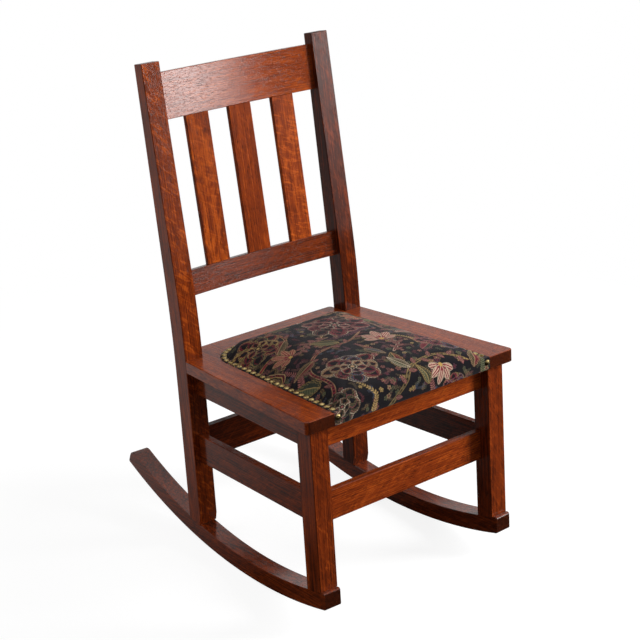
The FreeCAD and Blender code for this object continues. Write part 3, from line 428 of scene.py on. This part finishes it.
def outline(inset, step=2.0):
    """Points along the hem's outline from the front left corner, round the back, to the front right.

    Straight sides that draw in toward the back, an arc at each back corner that meets the side and the
    back squarely, and a straight back; the inset moves it all inward.
    """
    slope = cover_taper / (cover_back - cover_front)
    turn = math.atan(slope)
    radius = corner_radius - inset
    line = cover_back - inset
    along = radius / math.cos(turn) - radius * math.tan(turn)
    centre = np.array([-(cover_half - cover_taper - inset) + along - slope * inset, line - radius])
    angles = np.linspace(math.pi - turn, math.pi / 2, int(radius * math.pi / 2 / step))
    arc = centre + radius * np.stack([np.cos(angles), np.sin(angles)], 1)
    front = np.array([-(cover_half - inset), cover_front])
    side = front + (arc[0] - front) * np.linspace(0, 1, int((arc[0][1] - cover_front) / step))[:-1, None]
    middle = np.array([0.0, line])
    across_back = arc[-1] + (middle - arc[-1]) * np.linspace(0, 1, int(-arc[-1][0] / step))[1:, None]
    left = np.concatenate([side, arc, across_back])
    return np.concatenate([left, left[-2::-1] * (-1, 1)])


def run_of(line):
    """Length along a line of points, up to each of them."""
    return np.concatenate([[0.0], np.cumsum(np.linalg.norm(np.diff(line, axis=0), axis=1))])


def spaced(line, count):
    """Points at equal distances along a line of points."""
    run = run_of(line)
    places = np.linspace(0, run[-1], count)
    return np.stack([np.interp(places, run, line[:, i]) for i in range(line.shape[1])], 1)


def to_line(x, y, line):
    """Distance from each point to a line of points, and how far along it the nearest one lies."""
    points = np.stack([x.ravel(), y.ravel()], 1)
    nearest = np.empty(len(points), int)
    gap = np.empty(len(points))
    for start in range(0, len(points), 4096):
        part = points[start:start + 4096]
        square = ((part[:, None, :] - line[None, :, :]) ** 2).sum(2)
        nearest[start:start + 4096] = square.argmin(1)
        gap[start:start + 4096] = np.sqrt(square.min(1))
    return gap.reshape(x.shape), run_of(line)[nearest].reshape(x.shape)


def crown_height(x, y):
    """Height of the stuffed top over the hem.

    One minus a falling exponential of the distance inside the hem, times the same of the distance
    from the front, where the stuffing already stands a little proud of the frame.
    """
    inside = np.maximum(to_line(x, y, outline(0.0))[0] - hem_width, 0.0)
    from_front = np.maximum(y - cover_front, 0.0) + front_lead
    return crown * (1 - np.exp(-inside / crown_reach)) * (1 - np.exp(-from_front / crown_reach))


# the top is a Coons patch between the outline's four sides: the two ruled surfaces added, less the
# bilinear one through the corners
columns = 57
rows_top = 63
rim = outline(0.0)
half_rim = rim[:len(rim) // 2]
corner = int(np.argmin(np.linalg.norm(half_rim - (-cover_half + cover_taper, cover_back), axis=1)))
left_side = spaced(rim[:corner + 1], rows_top)
right_side = left_side * (-1, 1)
back_line = spaced(rim[corner:len(rim) - corner], columns)
front_line = np.stack([np.linspace(-cover_half, cover_half, columns), np.full(columns, cover_front)], 1)
s = np.linspace(0, 1, columns)[None, :, None]
t = np.linspace(0, 1, rows_top)[:, None, None]
plan = ((1 - t) * front_line[None] + t * back_line[None] + (1 - s) * left_side[:, None] + s * right_side[:, None]
        - (1 - s) * (1 - t) * front_line[0] - s * (1 - t) * front_line[-1]
        - (1 - s) * t * back_line[0] - s * t * back_line[-1])
top = np.concatenate([plan, (hem_level + crown_height(plan[..., 0], plan[..., 1]))[..., None]], 2)

# then down the member's face, round its lower edge and back under it
drop = np.array([0.12, 0.3, 0.5, 0.72, 0.93])[:, None]
tuck = np.array([2.5, 8.0, 14.0])[:, None]
edge_level = top[0, :, 2][None, :]
face = np.empty((len(drop), columns, 3))
face[..., 0] = front_line[:, 0]
face[..., 1] = cover_front - (face_bulge * np.sin(np.pi * np.minimum(drop * 1.6, 1.0))
                               * np.sin(np.pi * s[..., 0]) ** 0.4)
face[..., 2] = edge_level + (member_bottom - 0.8 * cloth_drop - edge_level) * drop
under = np.empty((len(tuck), columns, 3))
under[..., 0] = front_line[:, 0]
under[..., 1] = cover_front + tuck
under[..., 2] = member_bottom - cloth_drop
outer = np.concatenate([under[::-1], face[::-1], top])
first_top = len(drop) + len(tuck)

# the same points on the cloth laid flat, which the design follows
flat = outer[..., :2].copy()
fall = edge_level - face[..., 2]
flat[len(tuck):first_top, :, 1] = cover_front - fall[::-1]
flat[:len(tuck), :, 1] = cover_front - fall[-1] - edge_turn - tuck[::-1]

# inside, the cloth and its stuffing meet the recess, the hessian and the front member
rim_gap = to_line(plan[..., 0], plan[..., 1], rim)[0]
inner = outer.copy()
inner[first_top:, :, 2] = np.where(rim_gap < hem_width, recess_floor + clearance, hem_level + 0.35)
inner[first_top:, :, 1] = np.maximum(inner[first_top:, :, 1], member_face)
inner[len(tuck):first_top, :, 1] = member_face
inner[len(tuck):first_top, :, 2] = np.linspace(member_bottom - clearance, recess_floor, len(drop))[:, None]
inner[:len(tuck), :, 1] = np.maximum(outer[:len(tuck), :, 1], member_face)
inner[:len(tuck), :, 2] = member_bottom - 1.5 * clearance

rows = len(outer)
index = np.arange(rows * columns).reshape(rows, columns)
inner_quads = np.stack([index[:-1, :-1], index[1:, :-1], index[1:, 1:], index[:-1, 1:]], -1).reshape(-1, 4)


def surface(name, points, faces):
    """A smooth-shaded mesh object from points, in metres, and faces."""
    mesh = bpy.data.meshes.new(name)
    mesh.from_pydata(points.tolist(), [], faces)
    mesh.polygons.foreach_set("use_smooth", np.ones(len(faces), bool))
    mesh.update()
    piece = bpy.data.objects.new(name, mesh)
    scene.collection.objects.link(piece)
    return piece


def loop_round(index):
    """The vertices round a grid's edge: along the front, up the right, along the back and down the left."""
    return np.concatenate([index[0, :-1], index[:-1, -1], index[-1, :0:-1], index[:0:-1, 0]])


# The stuffing fills the cover: its hem, its front and its underside are held, and pressure draws the
# rest into the shape that cloth takes between its nails.
loop = loop_round(index)
ahead = np.roll(loop, -1)
far = index.size
closed = np.concatenate([inner_quads[:, ::-1], inner_quads + far,
                         np.stack([loop, loop + far, ahead + far, ahead], -1)])
laid = np.concatenate([at_rest(outer).reshape(-1, 3), at_rest(inner).reshape(-1, 3)])
bag = surface("bag", laid, closed.tolist())
free = np.zeros(outer.shape[:2], bool)
free[first_top:] = (rim_gap > hem_width + 1.0) & (plan[..., 1] > cover_front + 5.0)
fixed = bag.vertex_groups.new(name="fixed")
fixed.add(np.nonzero(~np.concatenate([free.ravel(), np.zeros(far, bool)]))[0].tolist(), 1.0, "REPLACE")
cloth = bag.modifiers.new("stuffing", "CLOTH")
cloth.settings.vertex_group_mass = "fixed"
cloth.settings.quality = 6
cloth.settings.mass = 0.25
cloth.settings.tension_stiffness = 40
cloth.settings.compression_stiffness = 20
cloth.settings.shear_stiffness = 10
cloth.settings.bending_stiffness = 2.0
cloth.settings.use_pressure = True
cloth.settings.uniform_pressure_force = 4.0
cloth.settings.effector_weights.gravity = 0.0
last_frame = 20
cloth.point_cache.frame_start = 1
cloth.point_cache.frame_end = last_frame
for number in range(1, last_frame + 1):
    scene.frame_set(number)
settled = np.empty(laid.size)
bag.evaluated_get(bpy.context.evaluated_depsgraph_get()).data.vertices.foreach_get("co", settled)
moved = (settled.reshape(-1, 3) - laid)[:far].reshape(outer.shape) * 1000
reach = np.linalg.norm(moved, axis=2, keepdims=True)
moved *= np.minimum(1.0, most_moved / np.maximum(reach, 1e-6))
moved[..., 1:] = np.stack([moved[..., 1] * math.cos(lean) - moved[..., 2] * math.sin(lean),
                           moved[..., 2] * math.cos(lean) + moved[..., 1] * math.sin(lean)], -1)
outer += moved
scene.frame_set(1)
bpy.data.objects.remove(bag)


def finer(grid, times):
    """A grid of points made finer both ways, as a cubic B-spline surface that keeps its edges' ends."""
    def weights(count):
        place = np.arange((count - 1) * times + 1) / times
        first = np.minimum(place.astype(int), count - 2)
        p = place - first
        basis = np.stack([(1 - p) ** 3, 3 * p ** 3 - 6 * p ** 2 + 4, 1 + 3 * p + 3 * p ** 2 - 3 * p ** 3,
                          p ** 3], 1) / 6
        matrix = np.zeros((len(place), count + 2))
        matrix[np.arange(len(place))[:, None], first[:, None] + np.arange(4)] = basis
        matrix[:, 1] += 2 * matrix[:, 0]
        matrix[:, 2] -= matrix[:, 0]
        matrix[:, -2] += 2 * matrix[:, -1]
        matrix[:, -3] -= matrix[:, -1]
        return matrix[:, 1:-1]

    along = np.tensordot(weights(grid.shape[0]), grid, (1, 0))
    return np.tensordot(along, weights(grid.shape[1]), (1, 1)).transpose(0, 2, 1)


# the cloth is drawn eight times as fine as it was laid, so that each nail and thread has its own points
times = 8
fine = finer(outer, times)
fine_flat = finer(flat, times)
u, v = fine_flat[..., 0], fine_flat[..., 1]

# small puckers where each nail draws the cloth down, just inside the hem, and the slight unevenness
# of hand-packed stuffing over the middle
rim_gap, run = to_line(u, v, outline(0.0, 1.0))
inside = np.maximum(rim_gap - hem_width, 0)
on_top = (v > cover_front) * (rim_gap > hem_width - 1.0)
pucker = pucker_depth * np.cos(2 * math.pi * run / nail_pitch) * np.exp(-inside / pucker_reach)
uneven = 0.6 * np.sin(u / 23.0 + 1.3) * np.sin(v / 31.0 + 0.4) + 0.35 * np.sin(u / 11.0 - v / 17.0)
fine[..., 2] += on_top * (pucker + uneven * (1 - np.exp(-inside / 14.0)))

fine_index = np.arange(fine.shape[0] * fine.shape[1]).reshape(fine.shape[:2])
far = fine_index.size
fine_quads = np.stack([fine_index[:-1, :-1], fine_index[:-1, 1:], fine_index[1:, 1:], fine_index[1:, :-1]], -1)
edge = np.append(loop_round(fine_index), fine_index[0, 0])
inner_edge = np.append(loop_round(index), index[0, 0]) + far
walls = [edge[i * times:(i + 1) * times + 1][::-1].tolist() + [int(inner_edge[i]), int(inner_edge[i + 1])]
         for i in range(len(inner_edge) - 1)]
cover = surface("seat_cover", np.concatenate([at_rest(fine).reshape(-1, 3), at_rest(inner).reshape(-1, 3)]),
                fine_quads.reshape(-1, 4).tolist() + (inner_quads + far).tolist() + walls)

# Tapestry design: full-blown flowers, paisley leaves, lilies and trailing stems on black, in muted
# gold, tan, rose, burgundy, sage and slate. It is drawn on the flat cloth, in half-millimetre cells.
cell = 0.5
cells_x = np.arange(-172.0, 172.5, cell)
cells_y = np.arange(-62.0, 362.5, cell)
black = "#141216"
design = np.tile(np.array(linear(black)[:3]), (len(cells_y), len(cells_x), 1))


def window(cx, cy, reach):
    """The part of the design within reach of a point, and its cells' coordinates from that point."""
    low = [max(int((c - reach - first) / cell), 0) for c, first in ((cy, cells_y[0]), (cx, cells_x[0]))]
    high = [max(int((c + reach - first) / cell) + 2, 0) for c, first in ((cy, cells_y[0]), (cx, cells_x[0]))]
    part = (slice(low[0], high[0]), slice(low[1], high[1]))
    return part, cells_x[part[1]][None, :] - cx, cells_y[part[0]][:, None] - cy


def weave(part, where, colour, amount=1.0):
    """Works a colour into part of the design, where a mask from 0 to 1 says."""
    share = (np.clip(where, 0, 1) * amount)[..., None]
    design[part] = design[part] * (1 - share) + np.array(linear(colour)[:3]) * share


def soft(depth, width=0.7):
    """1 inside a shape, where the depth in millimetres is above zero, falling to 0 over a thread's width."""
    return np.clip(depth / width + 0.5, 0, 1)


def line_at(depth, width):
    """A line of the given width along a shape's edge."""
    return soft(width / 2 - np.abs(depth))


def turned(du, dv, degrees):
    """Coordinates along and across a direction."""
    a = math.radians(degrees)
    return du * math.cos(a) + dv * math.sin(a), dv * math.cos(a) - du * math.sin(a)


def leaf(cx, cy, turn, length, width, near_side, far_side, thread, curl=0.0, teeth=0):
    """A pointed leaf: half its width is a sine of the way along it, and its midline bends as a parabola.

    Its halves differ in colour, with a midrib, slanting veins and a beaded outline.
    """
    part, du, dv = window(cx, cy, length * 1.25 + 4)
    along, side = turned(du, dv, turn)
    way = np.clip(along / length, 0, 1)
    side = side - curl * length * way ** 2
    half = width / 2 * np.sin(math.pi * way ** 0.8) ** 0.9
    half = half * (1 + 0.22 * np.abs(np.sin(math.pi * teeth * way)))
    depth = np.where((along > 0) & (along < length), half - np.abs(side), -9.0)
    weave(part, soft(depth + 1.6), black)
    weave(part, soft(depth - 1.3) * (side > 0), near_side, 0.8)
    weave(part, soft(depth - 1.3) * (side <= 0), far_side, 0.8)
    weave(part, soft(depth - 1.3) * (np.sin(along * 1.9 + np.abs(side) * 1.5) > 0.1), black, 0.75)
    weave(part, line_at(depth - 0.1, 1.2) * (0.65 + 0.35 * np.sin(along * 2.4)), thread)
    weave(part, line_at(depth - width * 0.17, 0.9) * (np.sin(along * 1.9) > -0.3), thread, 0.7)
    weave(part, soft(depth - 0.6) * soft(0.5 - np.abs(side)), thread, 0.9)


def paisley(cx, cy, turn, size, fill, thread, inner):
    """A paisley drop: a circle about its head drawn out to a hooked tip, ringed twice, its heart seeded."""
    part, du, dv = window(cx, cy, size * 1.3)
    along, side = turned(du, dv, turn)
    way = along / size
    side = side - size * 0.38 * np.clip(way, 0, 1) ** 2
    half = size * 0.36 * np.sqrt(np.clip(1 - (way / 0.42) ** 2, 0, 1))
    half = np.where(way > 0, size * 0.36 * np.clip(1 - way, 0, 1) ** 1.15, half)
    depth = np.where((way > -0.42) & (way < 1), half - np.abs(side), -9.0)
    weave(part, soft(depth + 1.6), black)
    ticks = np.sin(np.arctan2(side, along) * size * 0.8) > 0
    weave(part, soft(depth - 1.4) * ticks, fill, 0.75)
    weave(part, line_at(depth - 0.2, 1.3), thread)
    weave(part, soft(depth - size * 0.13), black)
    weave(part, line_at(depth - size * 0.13, 1.1), inner)
    weave(part, soft(depth - size * 0.2) * (np.sin(along * 2.4) * np.sin(side * 2.4) > 0.1), thread, 0.7)


def flower(cx, cy, radius, lobes, turn, light, warm, cool, deep):
    """A full-blown flower: petals in three overlapping ranks, each a rounded lobe with a scalloped edge.

    A rank is drawn petal by petal from the outermost in. Lines fan along every petal from its root,
    and the heart is a ring of beads.
    """
    for rank, (share, count) in enumerate(((1.0, lobes), (0.72, lobes - 1), (0.46, lobes - 2))):
        for number in range(count):
            swing = turn + 360 / count * (number + 0.5 * rank)
            length = radius * share * (0.88 + 0.12 * math.cos(number * 2.3 + rank))
            width = radius * share * 2.6 / count
            part, du, dv = window(cx, cy, radius * 1.2)
            along, side = turned(du, dv, swing)
            way = np.clip(along / length, 0, 1)
            round_end = np.sqrt(np.clip(1 - ((way - 0.68) / 0.32) ** 2, 0, 1))
            half = width * np.where(way > 0.68, round_end, (way / 0.68) ** 0.7)
            angle = np.arctan2(side, along - length * 0.5)
            depth = np.where((along > 0) & (along < length), half - np.abs(side), -9.0)
            depth = depth - 1.3 * np.abs(np.sin(angle * (7 - 2 * rank)))
            weave(part, soft(depth + 1.5), black)
            fill = (deep, cool, deep, warm)[(number + rank) % 4]
            fan = np.sin(side / (0.35 + way) * 2.1)
            weave(part, soft(depth - 1.4) * soft(width * 0.5 - depth) * (fan > -0.2) * (way > 0.3), fill, 0.85)
            weave(part, line_at(depth - 0.2, 1.3) * (0.7 + 0.3 * np.sin(angle * 26)), (light, warm)[rank % 2])
            weave(part, line_at(depth - width * 0.24, 1.0) * (way > 0.35), (warm, cool)[rank % 2], 0.8)
            weave(part, line_at(depth - width * 0.52, 0.9) * (way > 0.45), deep, 0.8)
    part, du, dv = window(cx, cy, radius * 0.3)
    r = np.hypot(du, dv)
    weave(part, soft(radius * 0.17 - r), black)
    weave(part, line_at(radius * 0.13 - r, 1.6) * (np.sin(np.arctan2(dv, du) * 9) > -0.2), light)
    weave(part, soft(radius * 0.06 - r), warm)


def lily(cx, cy, turn, size, deep, pale):
    """An open flower of five pointed petals fanned about one direction, striped from heart to tip."""
    for petal, reach in zip((-76, 76, -40, 40, 0), (0.7, 0.7, 0.9, 0.9, 1.0)):
        part, du, dv = window(cx, cy, size * 1.1)
        along, side = turned(du, dv, turn + petal)
        way = np.clip(along / (size * reach), 0, 1)
        half = size * 0.18 * np.sin(math.pi * way ** 1.3) ** 0.8
        depth = np.where((way > 0) & (way < 1), half - np.abs(side), -9.0)
        weave(part, soft(depth + 1.5), black)
        weave(part, soft(depth - 0.4), deep)
        weave(part, soft(depth - 0.9) * (np.cos(side * 1.7) > 0.35) * (way > 0.3), pale, 0.85)
        weave(part, line_at(depth, 1.1) * (0.8 + 0.2 * np.sin(along * 3)), pale)
    part, du, dv = window(cx, cy, size * 0.3)
    weave(part, soft(size * 0.1 - np.hypot(du, dv)), "#b3914f")


def trail(nodes):
    """A smooth line through the nodes, and the direction that it takes at each of its points."""
    nodes = np.array(nodes, float)
    share = np.linspace(0, len(nodes) - 1, 90)
    line = np.stack([np.interp(share, np.arange(len(nodes)), nodes[:, i]) for i in (0, 1)], 1)
    for _ in range(60):
        line[1:-1] = (line[:-2] + 2 * line[1:-1] + line[2:]) / 4
    way = np.gradient(line, axis=0)
    return line, np.degrees(np.arctan2(way[:, 1], way[:, 0]))


def stem(nodes, thick, core, thread):
    """A trailing stem, tapering along its length: a ribbed core between two beaded lines."""
    line, _ = trail(nodes)
    centre = (line.max(0) + line.min(0)) / 2
    part, du, dv = window(*centre, (line.max(0) - line.min(0)).max() / 2 + 6)
    gap, run = to_line(du + centre[0] + 0 * dv, dv + centre[1] + 0 * du, line)
    left = run.max() - run
    half = thick * (1.0 - 0.6 * run / run.max()) * np.clip(left / 10, 0, 1) * np.clip(0.4 + run / 12, 0, 1)
    weave(part, soft(half + 1.6 - gap), black)
    weave(part, soft(half - gap) * (np.sin(run * 2.6 + gap) > -0.4), core, 0.9)
    weave(part, line_at(half - gap + 0.3, 1.0) * (0.7 + 0.3 * np.sin(run * 2.0)), thread)


def sprig(nodes, size, colour, vein):
    """A fern sprig: leaflets in pairs along a thin stalk, each a slim ellipse turned 48 degrees out."""
    line, ways = trail(nodes)
    count = max(int(run_of(line)[-1] / (size * 0.55)), 3)
    for number, place in enumerate(np.linspace(4, 88, count).astype(int)):
        reach = size * (1.0 - 0.5 * number / count)
        for side in (-48, 48):
            part, du, dv = window(line[place, 0], line[place, 1], reach * 1.3)
            along, across = turned(du, dv, ways[place] + side)
            inside = 1 - np.hypot((along / reach - 0.58) / 0.42, across / reach / 0.15)
            weave(part, soft(inside * reach * 0.3, 0.5), colour)
        part, du, dv = window(line[place, 0], line[place, 1], size)
        along, across = turned(du, dv, ways[place])
        weave(part, soft(0.35 - np.abs(across)) * (along > -size * 0.6) * (along < 1), vein, 0.8)


def floret(cx, cy, size, petals, thread, heart):
    """A small flower: the outline's radius is a cosine of the angle, round a filled heart."""
    part, du, dv = window(cx, cy, size * 1.6)
    r = np.hypot(du, dv)
    edge = size * (1 + 0.32 * np.cos(petals * np.arctan2(dv, du) + cx))
    weave(part, soft(edge + 1.2 - r), black)
    weave(part, line_at(edge - r, 1.1), thread)
    weave(part, soft(size * 0.35 - r), heart)


gold, tan, rose, burgundy, cream = "#b1935c", "#ae8e69", "#9b615b", "#7a2b35", "#d3bea2"
sage, olive, slate, moss, mauve = "#696c4f", "#5d5139", "#475262", "#40473a", "#643e49"

# ground: scattered sprigs and florets, mostly in the deeper colours
draw = np.random.default_rng(11)
for number in range(420):
    x, y = draw.uniform((-168, -50), (168, 358))
    turn, bend = draw.uniform((0, -0.5), (360, 0.5))
    reach = draw.uniform(11, 20)
    way = np.array([math.cos(math.radians(turn)), math.sin(math.radians(turn))]) * reach
    side = np.array([-way[1], way[0]]) * bend
    nodes = [(x, y), (x + way[0] / 2 + side[0], y + way[1] / 2 + side[1]), (x + way[0], y + way[1])]
    sprig(nodes, 4.2, (mauve, olive, "#5c2730", slate, "#744c48", "#595b43", "#7c6545")[number % 7], "#4a3a34")
for number in range(260):
    x, y = draw.uniform((-168, -50), (168, 358))
    floret(x, y, draw.uniform(2.0, 3.4), 5, (tan, rose, sage, mauve, gold, rose)[number % 6],
           (burgundy, gold, olive)[number % 3])

for nodes, thick, core, thread in (
        ([(-168, -10), (-120, 40), (-128, 110), (-70, 150), (-10, 140), (40, 170)], 3.2, burgundy, tan),
        ([(168, 96), (110, 112), (80, 150), (96, 205), (60, 260), (0, 285)], 3.0, mauve, tan),
        ([(-60, -50), (10, 10), (70, 20), (120, -12)], 2.8, olive, gold),
        ([(-150, 210), (-95, 205), (-60, 245), (-70, 300), (-30, 330)], 2.8, burgundy, gold),
        ([(30, 330), (80, 318), (110, 280), (158, 262)], 2.6, olive, tan),
        ([(20, 60), (52, 84), (44, 122)], 2.2, burgundy, cream),
        ([(-20, 185), (-60, 190), (-92, 168)], 2.4, mauve, tan)):
    stem(nodes, thick, core, thread)
    line, ways = trail(nodes)
    for number in range(8, 84, 9):
        side = 52 if number % 2 else -52
        leaf(*line[number], ways[number] + side, 14, 6.5, moss, olive, (gold, tan, rose)[number % 3])
for nodes, size, colour in (
        ([(-150, 90), (-130, 120), (-136, 160)], 8, rose), ([(60, 180), (20, 170), (-30, 176)], 8, mauve),
        ([(150, 150), (140, 190), (156, 230)], 8, sage), ([(-20, 60), (0, 90), (-6, 128)], 7, rose),
        ([(80, 60), (84, 90), (70, 120)], 7, gold), ([(-100, 300), (-60, 320), (-20, 350)], 7, mauve),
        ([(60, 300), (90, 300), (120, 330)], 7, tan), ([(-90, -46), (-80, -15), (-96, 14)], 7, gold),
        ([(40, -48), (34, -20), (50, 0)], 7, rose), ([(150, -40), (150, -10), (140, 20)], 7, sage)):
    sprig(nodes, size, colour, colour)
for item in (
        (-138, 58, 100, 52, 22, sage, moss, gold, 0.15, 7), (-96, 128, 200, 46, 19, burgundy, olive, tan, -0.2, 0),
        (-8, 12, 62, 50, 21, moss, burgundy, gold, 0.1, 6), (8, 6, 118, 44, 18, sage, olive, cream, -0.15, 0),
        (64, 40, 20, 46, 18, burgundy, moss, rose, 0.2, 5), (88, 150, 340, 56, 22, slate, moss, tan, 0.15, 0),
        (84, 128, 20, 50, 17, burgundy, rose, cream, -0.25, 0), (-22, 150, 130, 50, 20, sage, moss, gold, 0.1, 7),
        (-70, 236, 210, 50, 19, olive, burgundy, tan, 0.1, 6), (96, 214, 40, 54, 21, sage, moss, gold, -0.1, 7),
        (104, 200, 330, 44, 18, burgundy, olive, tan, 0.2, 0), (-20, 290, 150, 46, 19, moss, sage, gold, 0.15, 6),
        (6, 300, 60, 42, 17, burgundy, rose, cream, -0.15, 0), (-120, 330, 40, 40, 17, sage, olive, gold, 0.1, 0),
        (80, 330, 120, 40, 16, slate, moss, rose, -0.1, 0), (150, 130, 95, 44, 18, sage, olive, gold, 0.2, 5),
        (-10, 100, 280, 42, 17, slate, moss, tan, 0.15, 0), (30, -30, 100, 38, 16, sage, moss, gold, 0.1, 0),
        (130, -26, 80, 42, 18, olive, burgundy, tan, -0.2, 5)):
    leaf(*item)
for item in (
        (-150, 158, 70, 40, burgundy, tan, gold), (146, 208, 100, 42, moss, gold, cream),
        (-158, 276, 40, 34, slate, rose, gold), (0, 214, 200, 34, olive, tan, rose)):
    paisley(*item)
for item in (
        (-70, 58, 54, 8, 20, cream, tan, slate, burgundy), (30, 226, 62, 9, 0, cream, rose, moss, burgundy),
        (126, 66, 50, 8, 35, tan, rose, slate, burgundy), (-110, 262, 48, 8, 10, tan, gold, moss, burgundy),
        (124, 306, 44, 7, 50, rose, tan, slate, moss), (-44, 352, 38, 7, 5, gold, tan, moss, burgundy),
        (-148, -8, 38, 7, 25, cream, rose, moss, olive), (88, -52, 30, 7, 0, gold, rose, slate, burgundy)):
    flower(*item)
for item in ((42, 116, 75, 42, burgundy, cream), (-104, 178, 120, 36, burgundy, tan), (8, 318, 80, 32, rose, cream),
             (100, 258, 200, 30, burgundy, tan), (62, -6, 250, 34, burgundy, cream)):
    lily(*item)

# each point of the cloth takes its colour from the four cells round it
x = np.clip((u - cells_x[0]) / cell, 0, len(cells_x) - 1.001)
y = np.clip((v - cells_y[0]) / cell, 0, len(cells_y) - 1.001)
col, row = x.astype(int), y.astype(int)
px, py = (x - col)[..., None], (y - row)[..., None]
thread = ((design[row, col] * (1 - px) + design[row, col + 1] * px) * (1 - py)
          + (design[row + 1, col] * (1 - px) + design[row + 1, col + 1] * px) * py)
thread = np.concatenate([thread.reshape(-1, 3), np.tile(linear(black)[:3], (index.size, 1))])
laid = np.concatenate([fine_flat.reshape(-1, 2), flat.reshape(-1, 2)])
colour_layer = cover.data.attributes.new("woven_colour", "FLOAT_COLOR", "POINT")
colour_layer.data.foreach_set("color", np.column_stack([thread, np.ones(len(thread))]).ravel())
flat_layer = cover.data.attributes.new("laid_flat", "FLOAT_VECTOR", "POINT")
flat_layer.data.foreach_set("vector", np.column_stack([laid, np.zeros(len(laid))]).ravel())

# Cotton tapestry: coloured threads float over a black ground, which breaks every tone into specks
# and gives the cloth a soft sheen with no gloss.
tapestry, tree, out = blank("cotton_tapestry")
colour_read = add(tree, "ShaderNodeAttribute", attribute_name="woven_colour")
flat_read = add(tree, "ShaderNodeAttribute", attribute_name="laid_flat")
# threads 0.6 mm apart, drawn 1.1 mm apart so that they show
thread_pitch = 1.1
thread_map = add(tree, "ShaderNodeMapping", {"Vector": flat_read.outputs["Vector"], "Scale": (0.9, 0.9, 0.9)})
thread_noise = add(tree, "ShaderNodeTexNoise", {"Vector": thread_map.outputs[0], "Scale": 1.0, "Detail": 2.0,
                                                "Roughness": 0.7})
speck = add(tree, "ShaderNodeMapRange", {"Value": thread_noise.outputs[0], "From Min": 0.3, "From Max": 0.7,
                                         "To Min": 0.6, "To Max": 1.45})
flat_parts = add(tree, "ShaderNodeSeparateXYZ", {"Vector": flat_read.outputs["Vector"]})
rib = add(tree, "ShaderNodeMath", {0: flat_parts.outputs["Y"], 1: 2 * math.pi / thread_pitch}, operation="MULTIPLY")
rib_wave = add(tree, "ShaderNodeMath", {0: rib.outputs[0]}, operation="SINE")
rib_light = add(tree, "ShaderNodeMath", {0: rib_wave.outputs[0], 1: 0.1, 2: speck.outputs[0]},
                operation="MULTIPLY_ADD")
colour = add(tree, "ShaderNodeVectorMath", {0: colour_read.outputs["Color"], "Scale": rib_light.outputs[0]},
             operation="SCALE")
relief = add(tree, "ShaderNodeMath", {0: rib_wave.outputs[0], 1: 0.35, 2: thread_noise.outputs[0]},
             operation="MULTIPLY_ADD")
bump = add(tree, "ShaderNodeBump", {"Height": relief.outputs[0], "Strength": 0.5, "Distance": 0.0004})
shader = add(tree, "ShaderNodeBsdfPrincipled", {
    "Base Color": colour.outputs[0], "Roughness": 0.85, "Specular IOR Level": 0.1, "Sheen Weight": 0.05,
    "Sheen Roughness": 0.5, "Normal": bump.outputs[0]})
tree.links.new(shader.outputs[0], out.inputs["Surface"])
cover.data.materials.append(tapestry)
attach(cover, "root")
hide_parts("seat_pad", "cover_hem")

# Nails: domed brass heads, antiqued, a nail's width and a little apart along the hem, with one more
# on the front face at each corner.
nail_radius = 5.5
nail_rise = 3.0
nail_inset = 6.5
face_nail_level = 293.0
nail_line = outline(nail_inset, 0.5)
nail_count = int(round((run_of(nail_line)[-1] - 2 * nail_radius) / nail_pitch)) + 1
heads = spaced(nail_line, nail_count + 2)[1:-1]
sides = 14
rings = 5
swing = np.linspace(0, math.pi / 2, rings)[:-1]
turns = np.arange(sides) * 2 * math.pi / sides
ring_radius = nail_radius * np.cos(swing)
ring_height = nail_rise * np.sin(swing)
dome = np.stack([ring_radius[:, None] * np.cos(turns), ring_radius[:, None] * np.sin(turns),
                 np.repeat(ring_height[:, None], sides, 1)], -1).reshape(-1, 3)
dome = np.concatenate([dome, [[0, 0, nail_rise]], [[0, 0, -0.2]]])
grid = np.arange((rings - 1) * sides).reshape(rings - 1, sides)
next_one = np.roll(grid, -1, 1)
bands = np.stack([grid[:-1], next_one[:-1], next_one[1:], grid[1:]], -1).reshape(-1, 4)
tip, base = len(dome) - 2, len(dome) - 1
caps = np.concatenate([np.stack([grid[-1], next_one[-1], np.full(sides, tip)], -1),
                       np.stack([next_one[0], grid[0], np.full(sides, base)], -1)])
centres = np.concatenate([np.column_stack([heads, np.full(len(heads), hem_level)]),
                          [[side * (cover_half - nail_inset), cover_front, face_nail_level]
                           for side in (-1, 1)]])
forward = np.stack([dome[:, 0], -dome[:, 2], dome[:, 1]], 1)
shapes = np.concatenate([np.repeat(dome[None], len(heads), 0), np.repeat(forward[None], 2, 0)])
nail_points = (shapes + centres[:, None, :]).reshape(-1, 3)
nail_faces = []
for number in range(len(centres)):
    nail_faces += (bands + number * len(dome)).tolist() + (caps + number * len(dome)).tolist()
nails = surface("nail_heads", at_rest(nail_points), nail_faces)

brass, tree, out = blank("antiqued_brass")
coords = add(tree, "ShaderNodeTexCoord")
tarnish_map = add(tree, "ShaderNodeMapping", {"Vector": coords.outputs["Object"], "Scale": (260, 260, 260)})
tarnish = add(tree, "ShaderNodeTexNoise", {"Vector": tarnish_map.outputs[0], "Scale": 1.0, "Detail": 3.0})
share = add(tree, "ShaderNodeMapRange", {"Value": tarnish.outputs[0], "From Min": 0.35, "From Max": 0.65})
colour = add(tree, "ShaderNodeMix", {"Factor": share.outputs[0], "A": linear("#665230"), "B": linear("#c9b27a")},
             data_type="RGBA")
gloss = add(tree, "ShaderNodeMapRange", {"Value": tarnish.outputs[0], "To Min": 0.5, "To Max": 0.3})
shader = add(tree, "ShaderNodeBsdfPrincipled", {"Base Color": colour.outputs["Result"], "Metallic": 1.0,
                                                "Roughness": gloss.outputs[0]})
tree.links.new(shader.outputs[0], out.inputs["Surface"])
nails.data.materials.append(brass)
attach(nails, "root")
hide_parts("cover_nails")
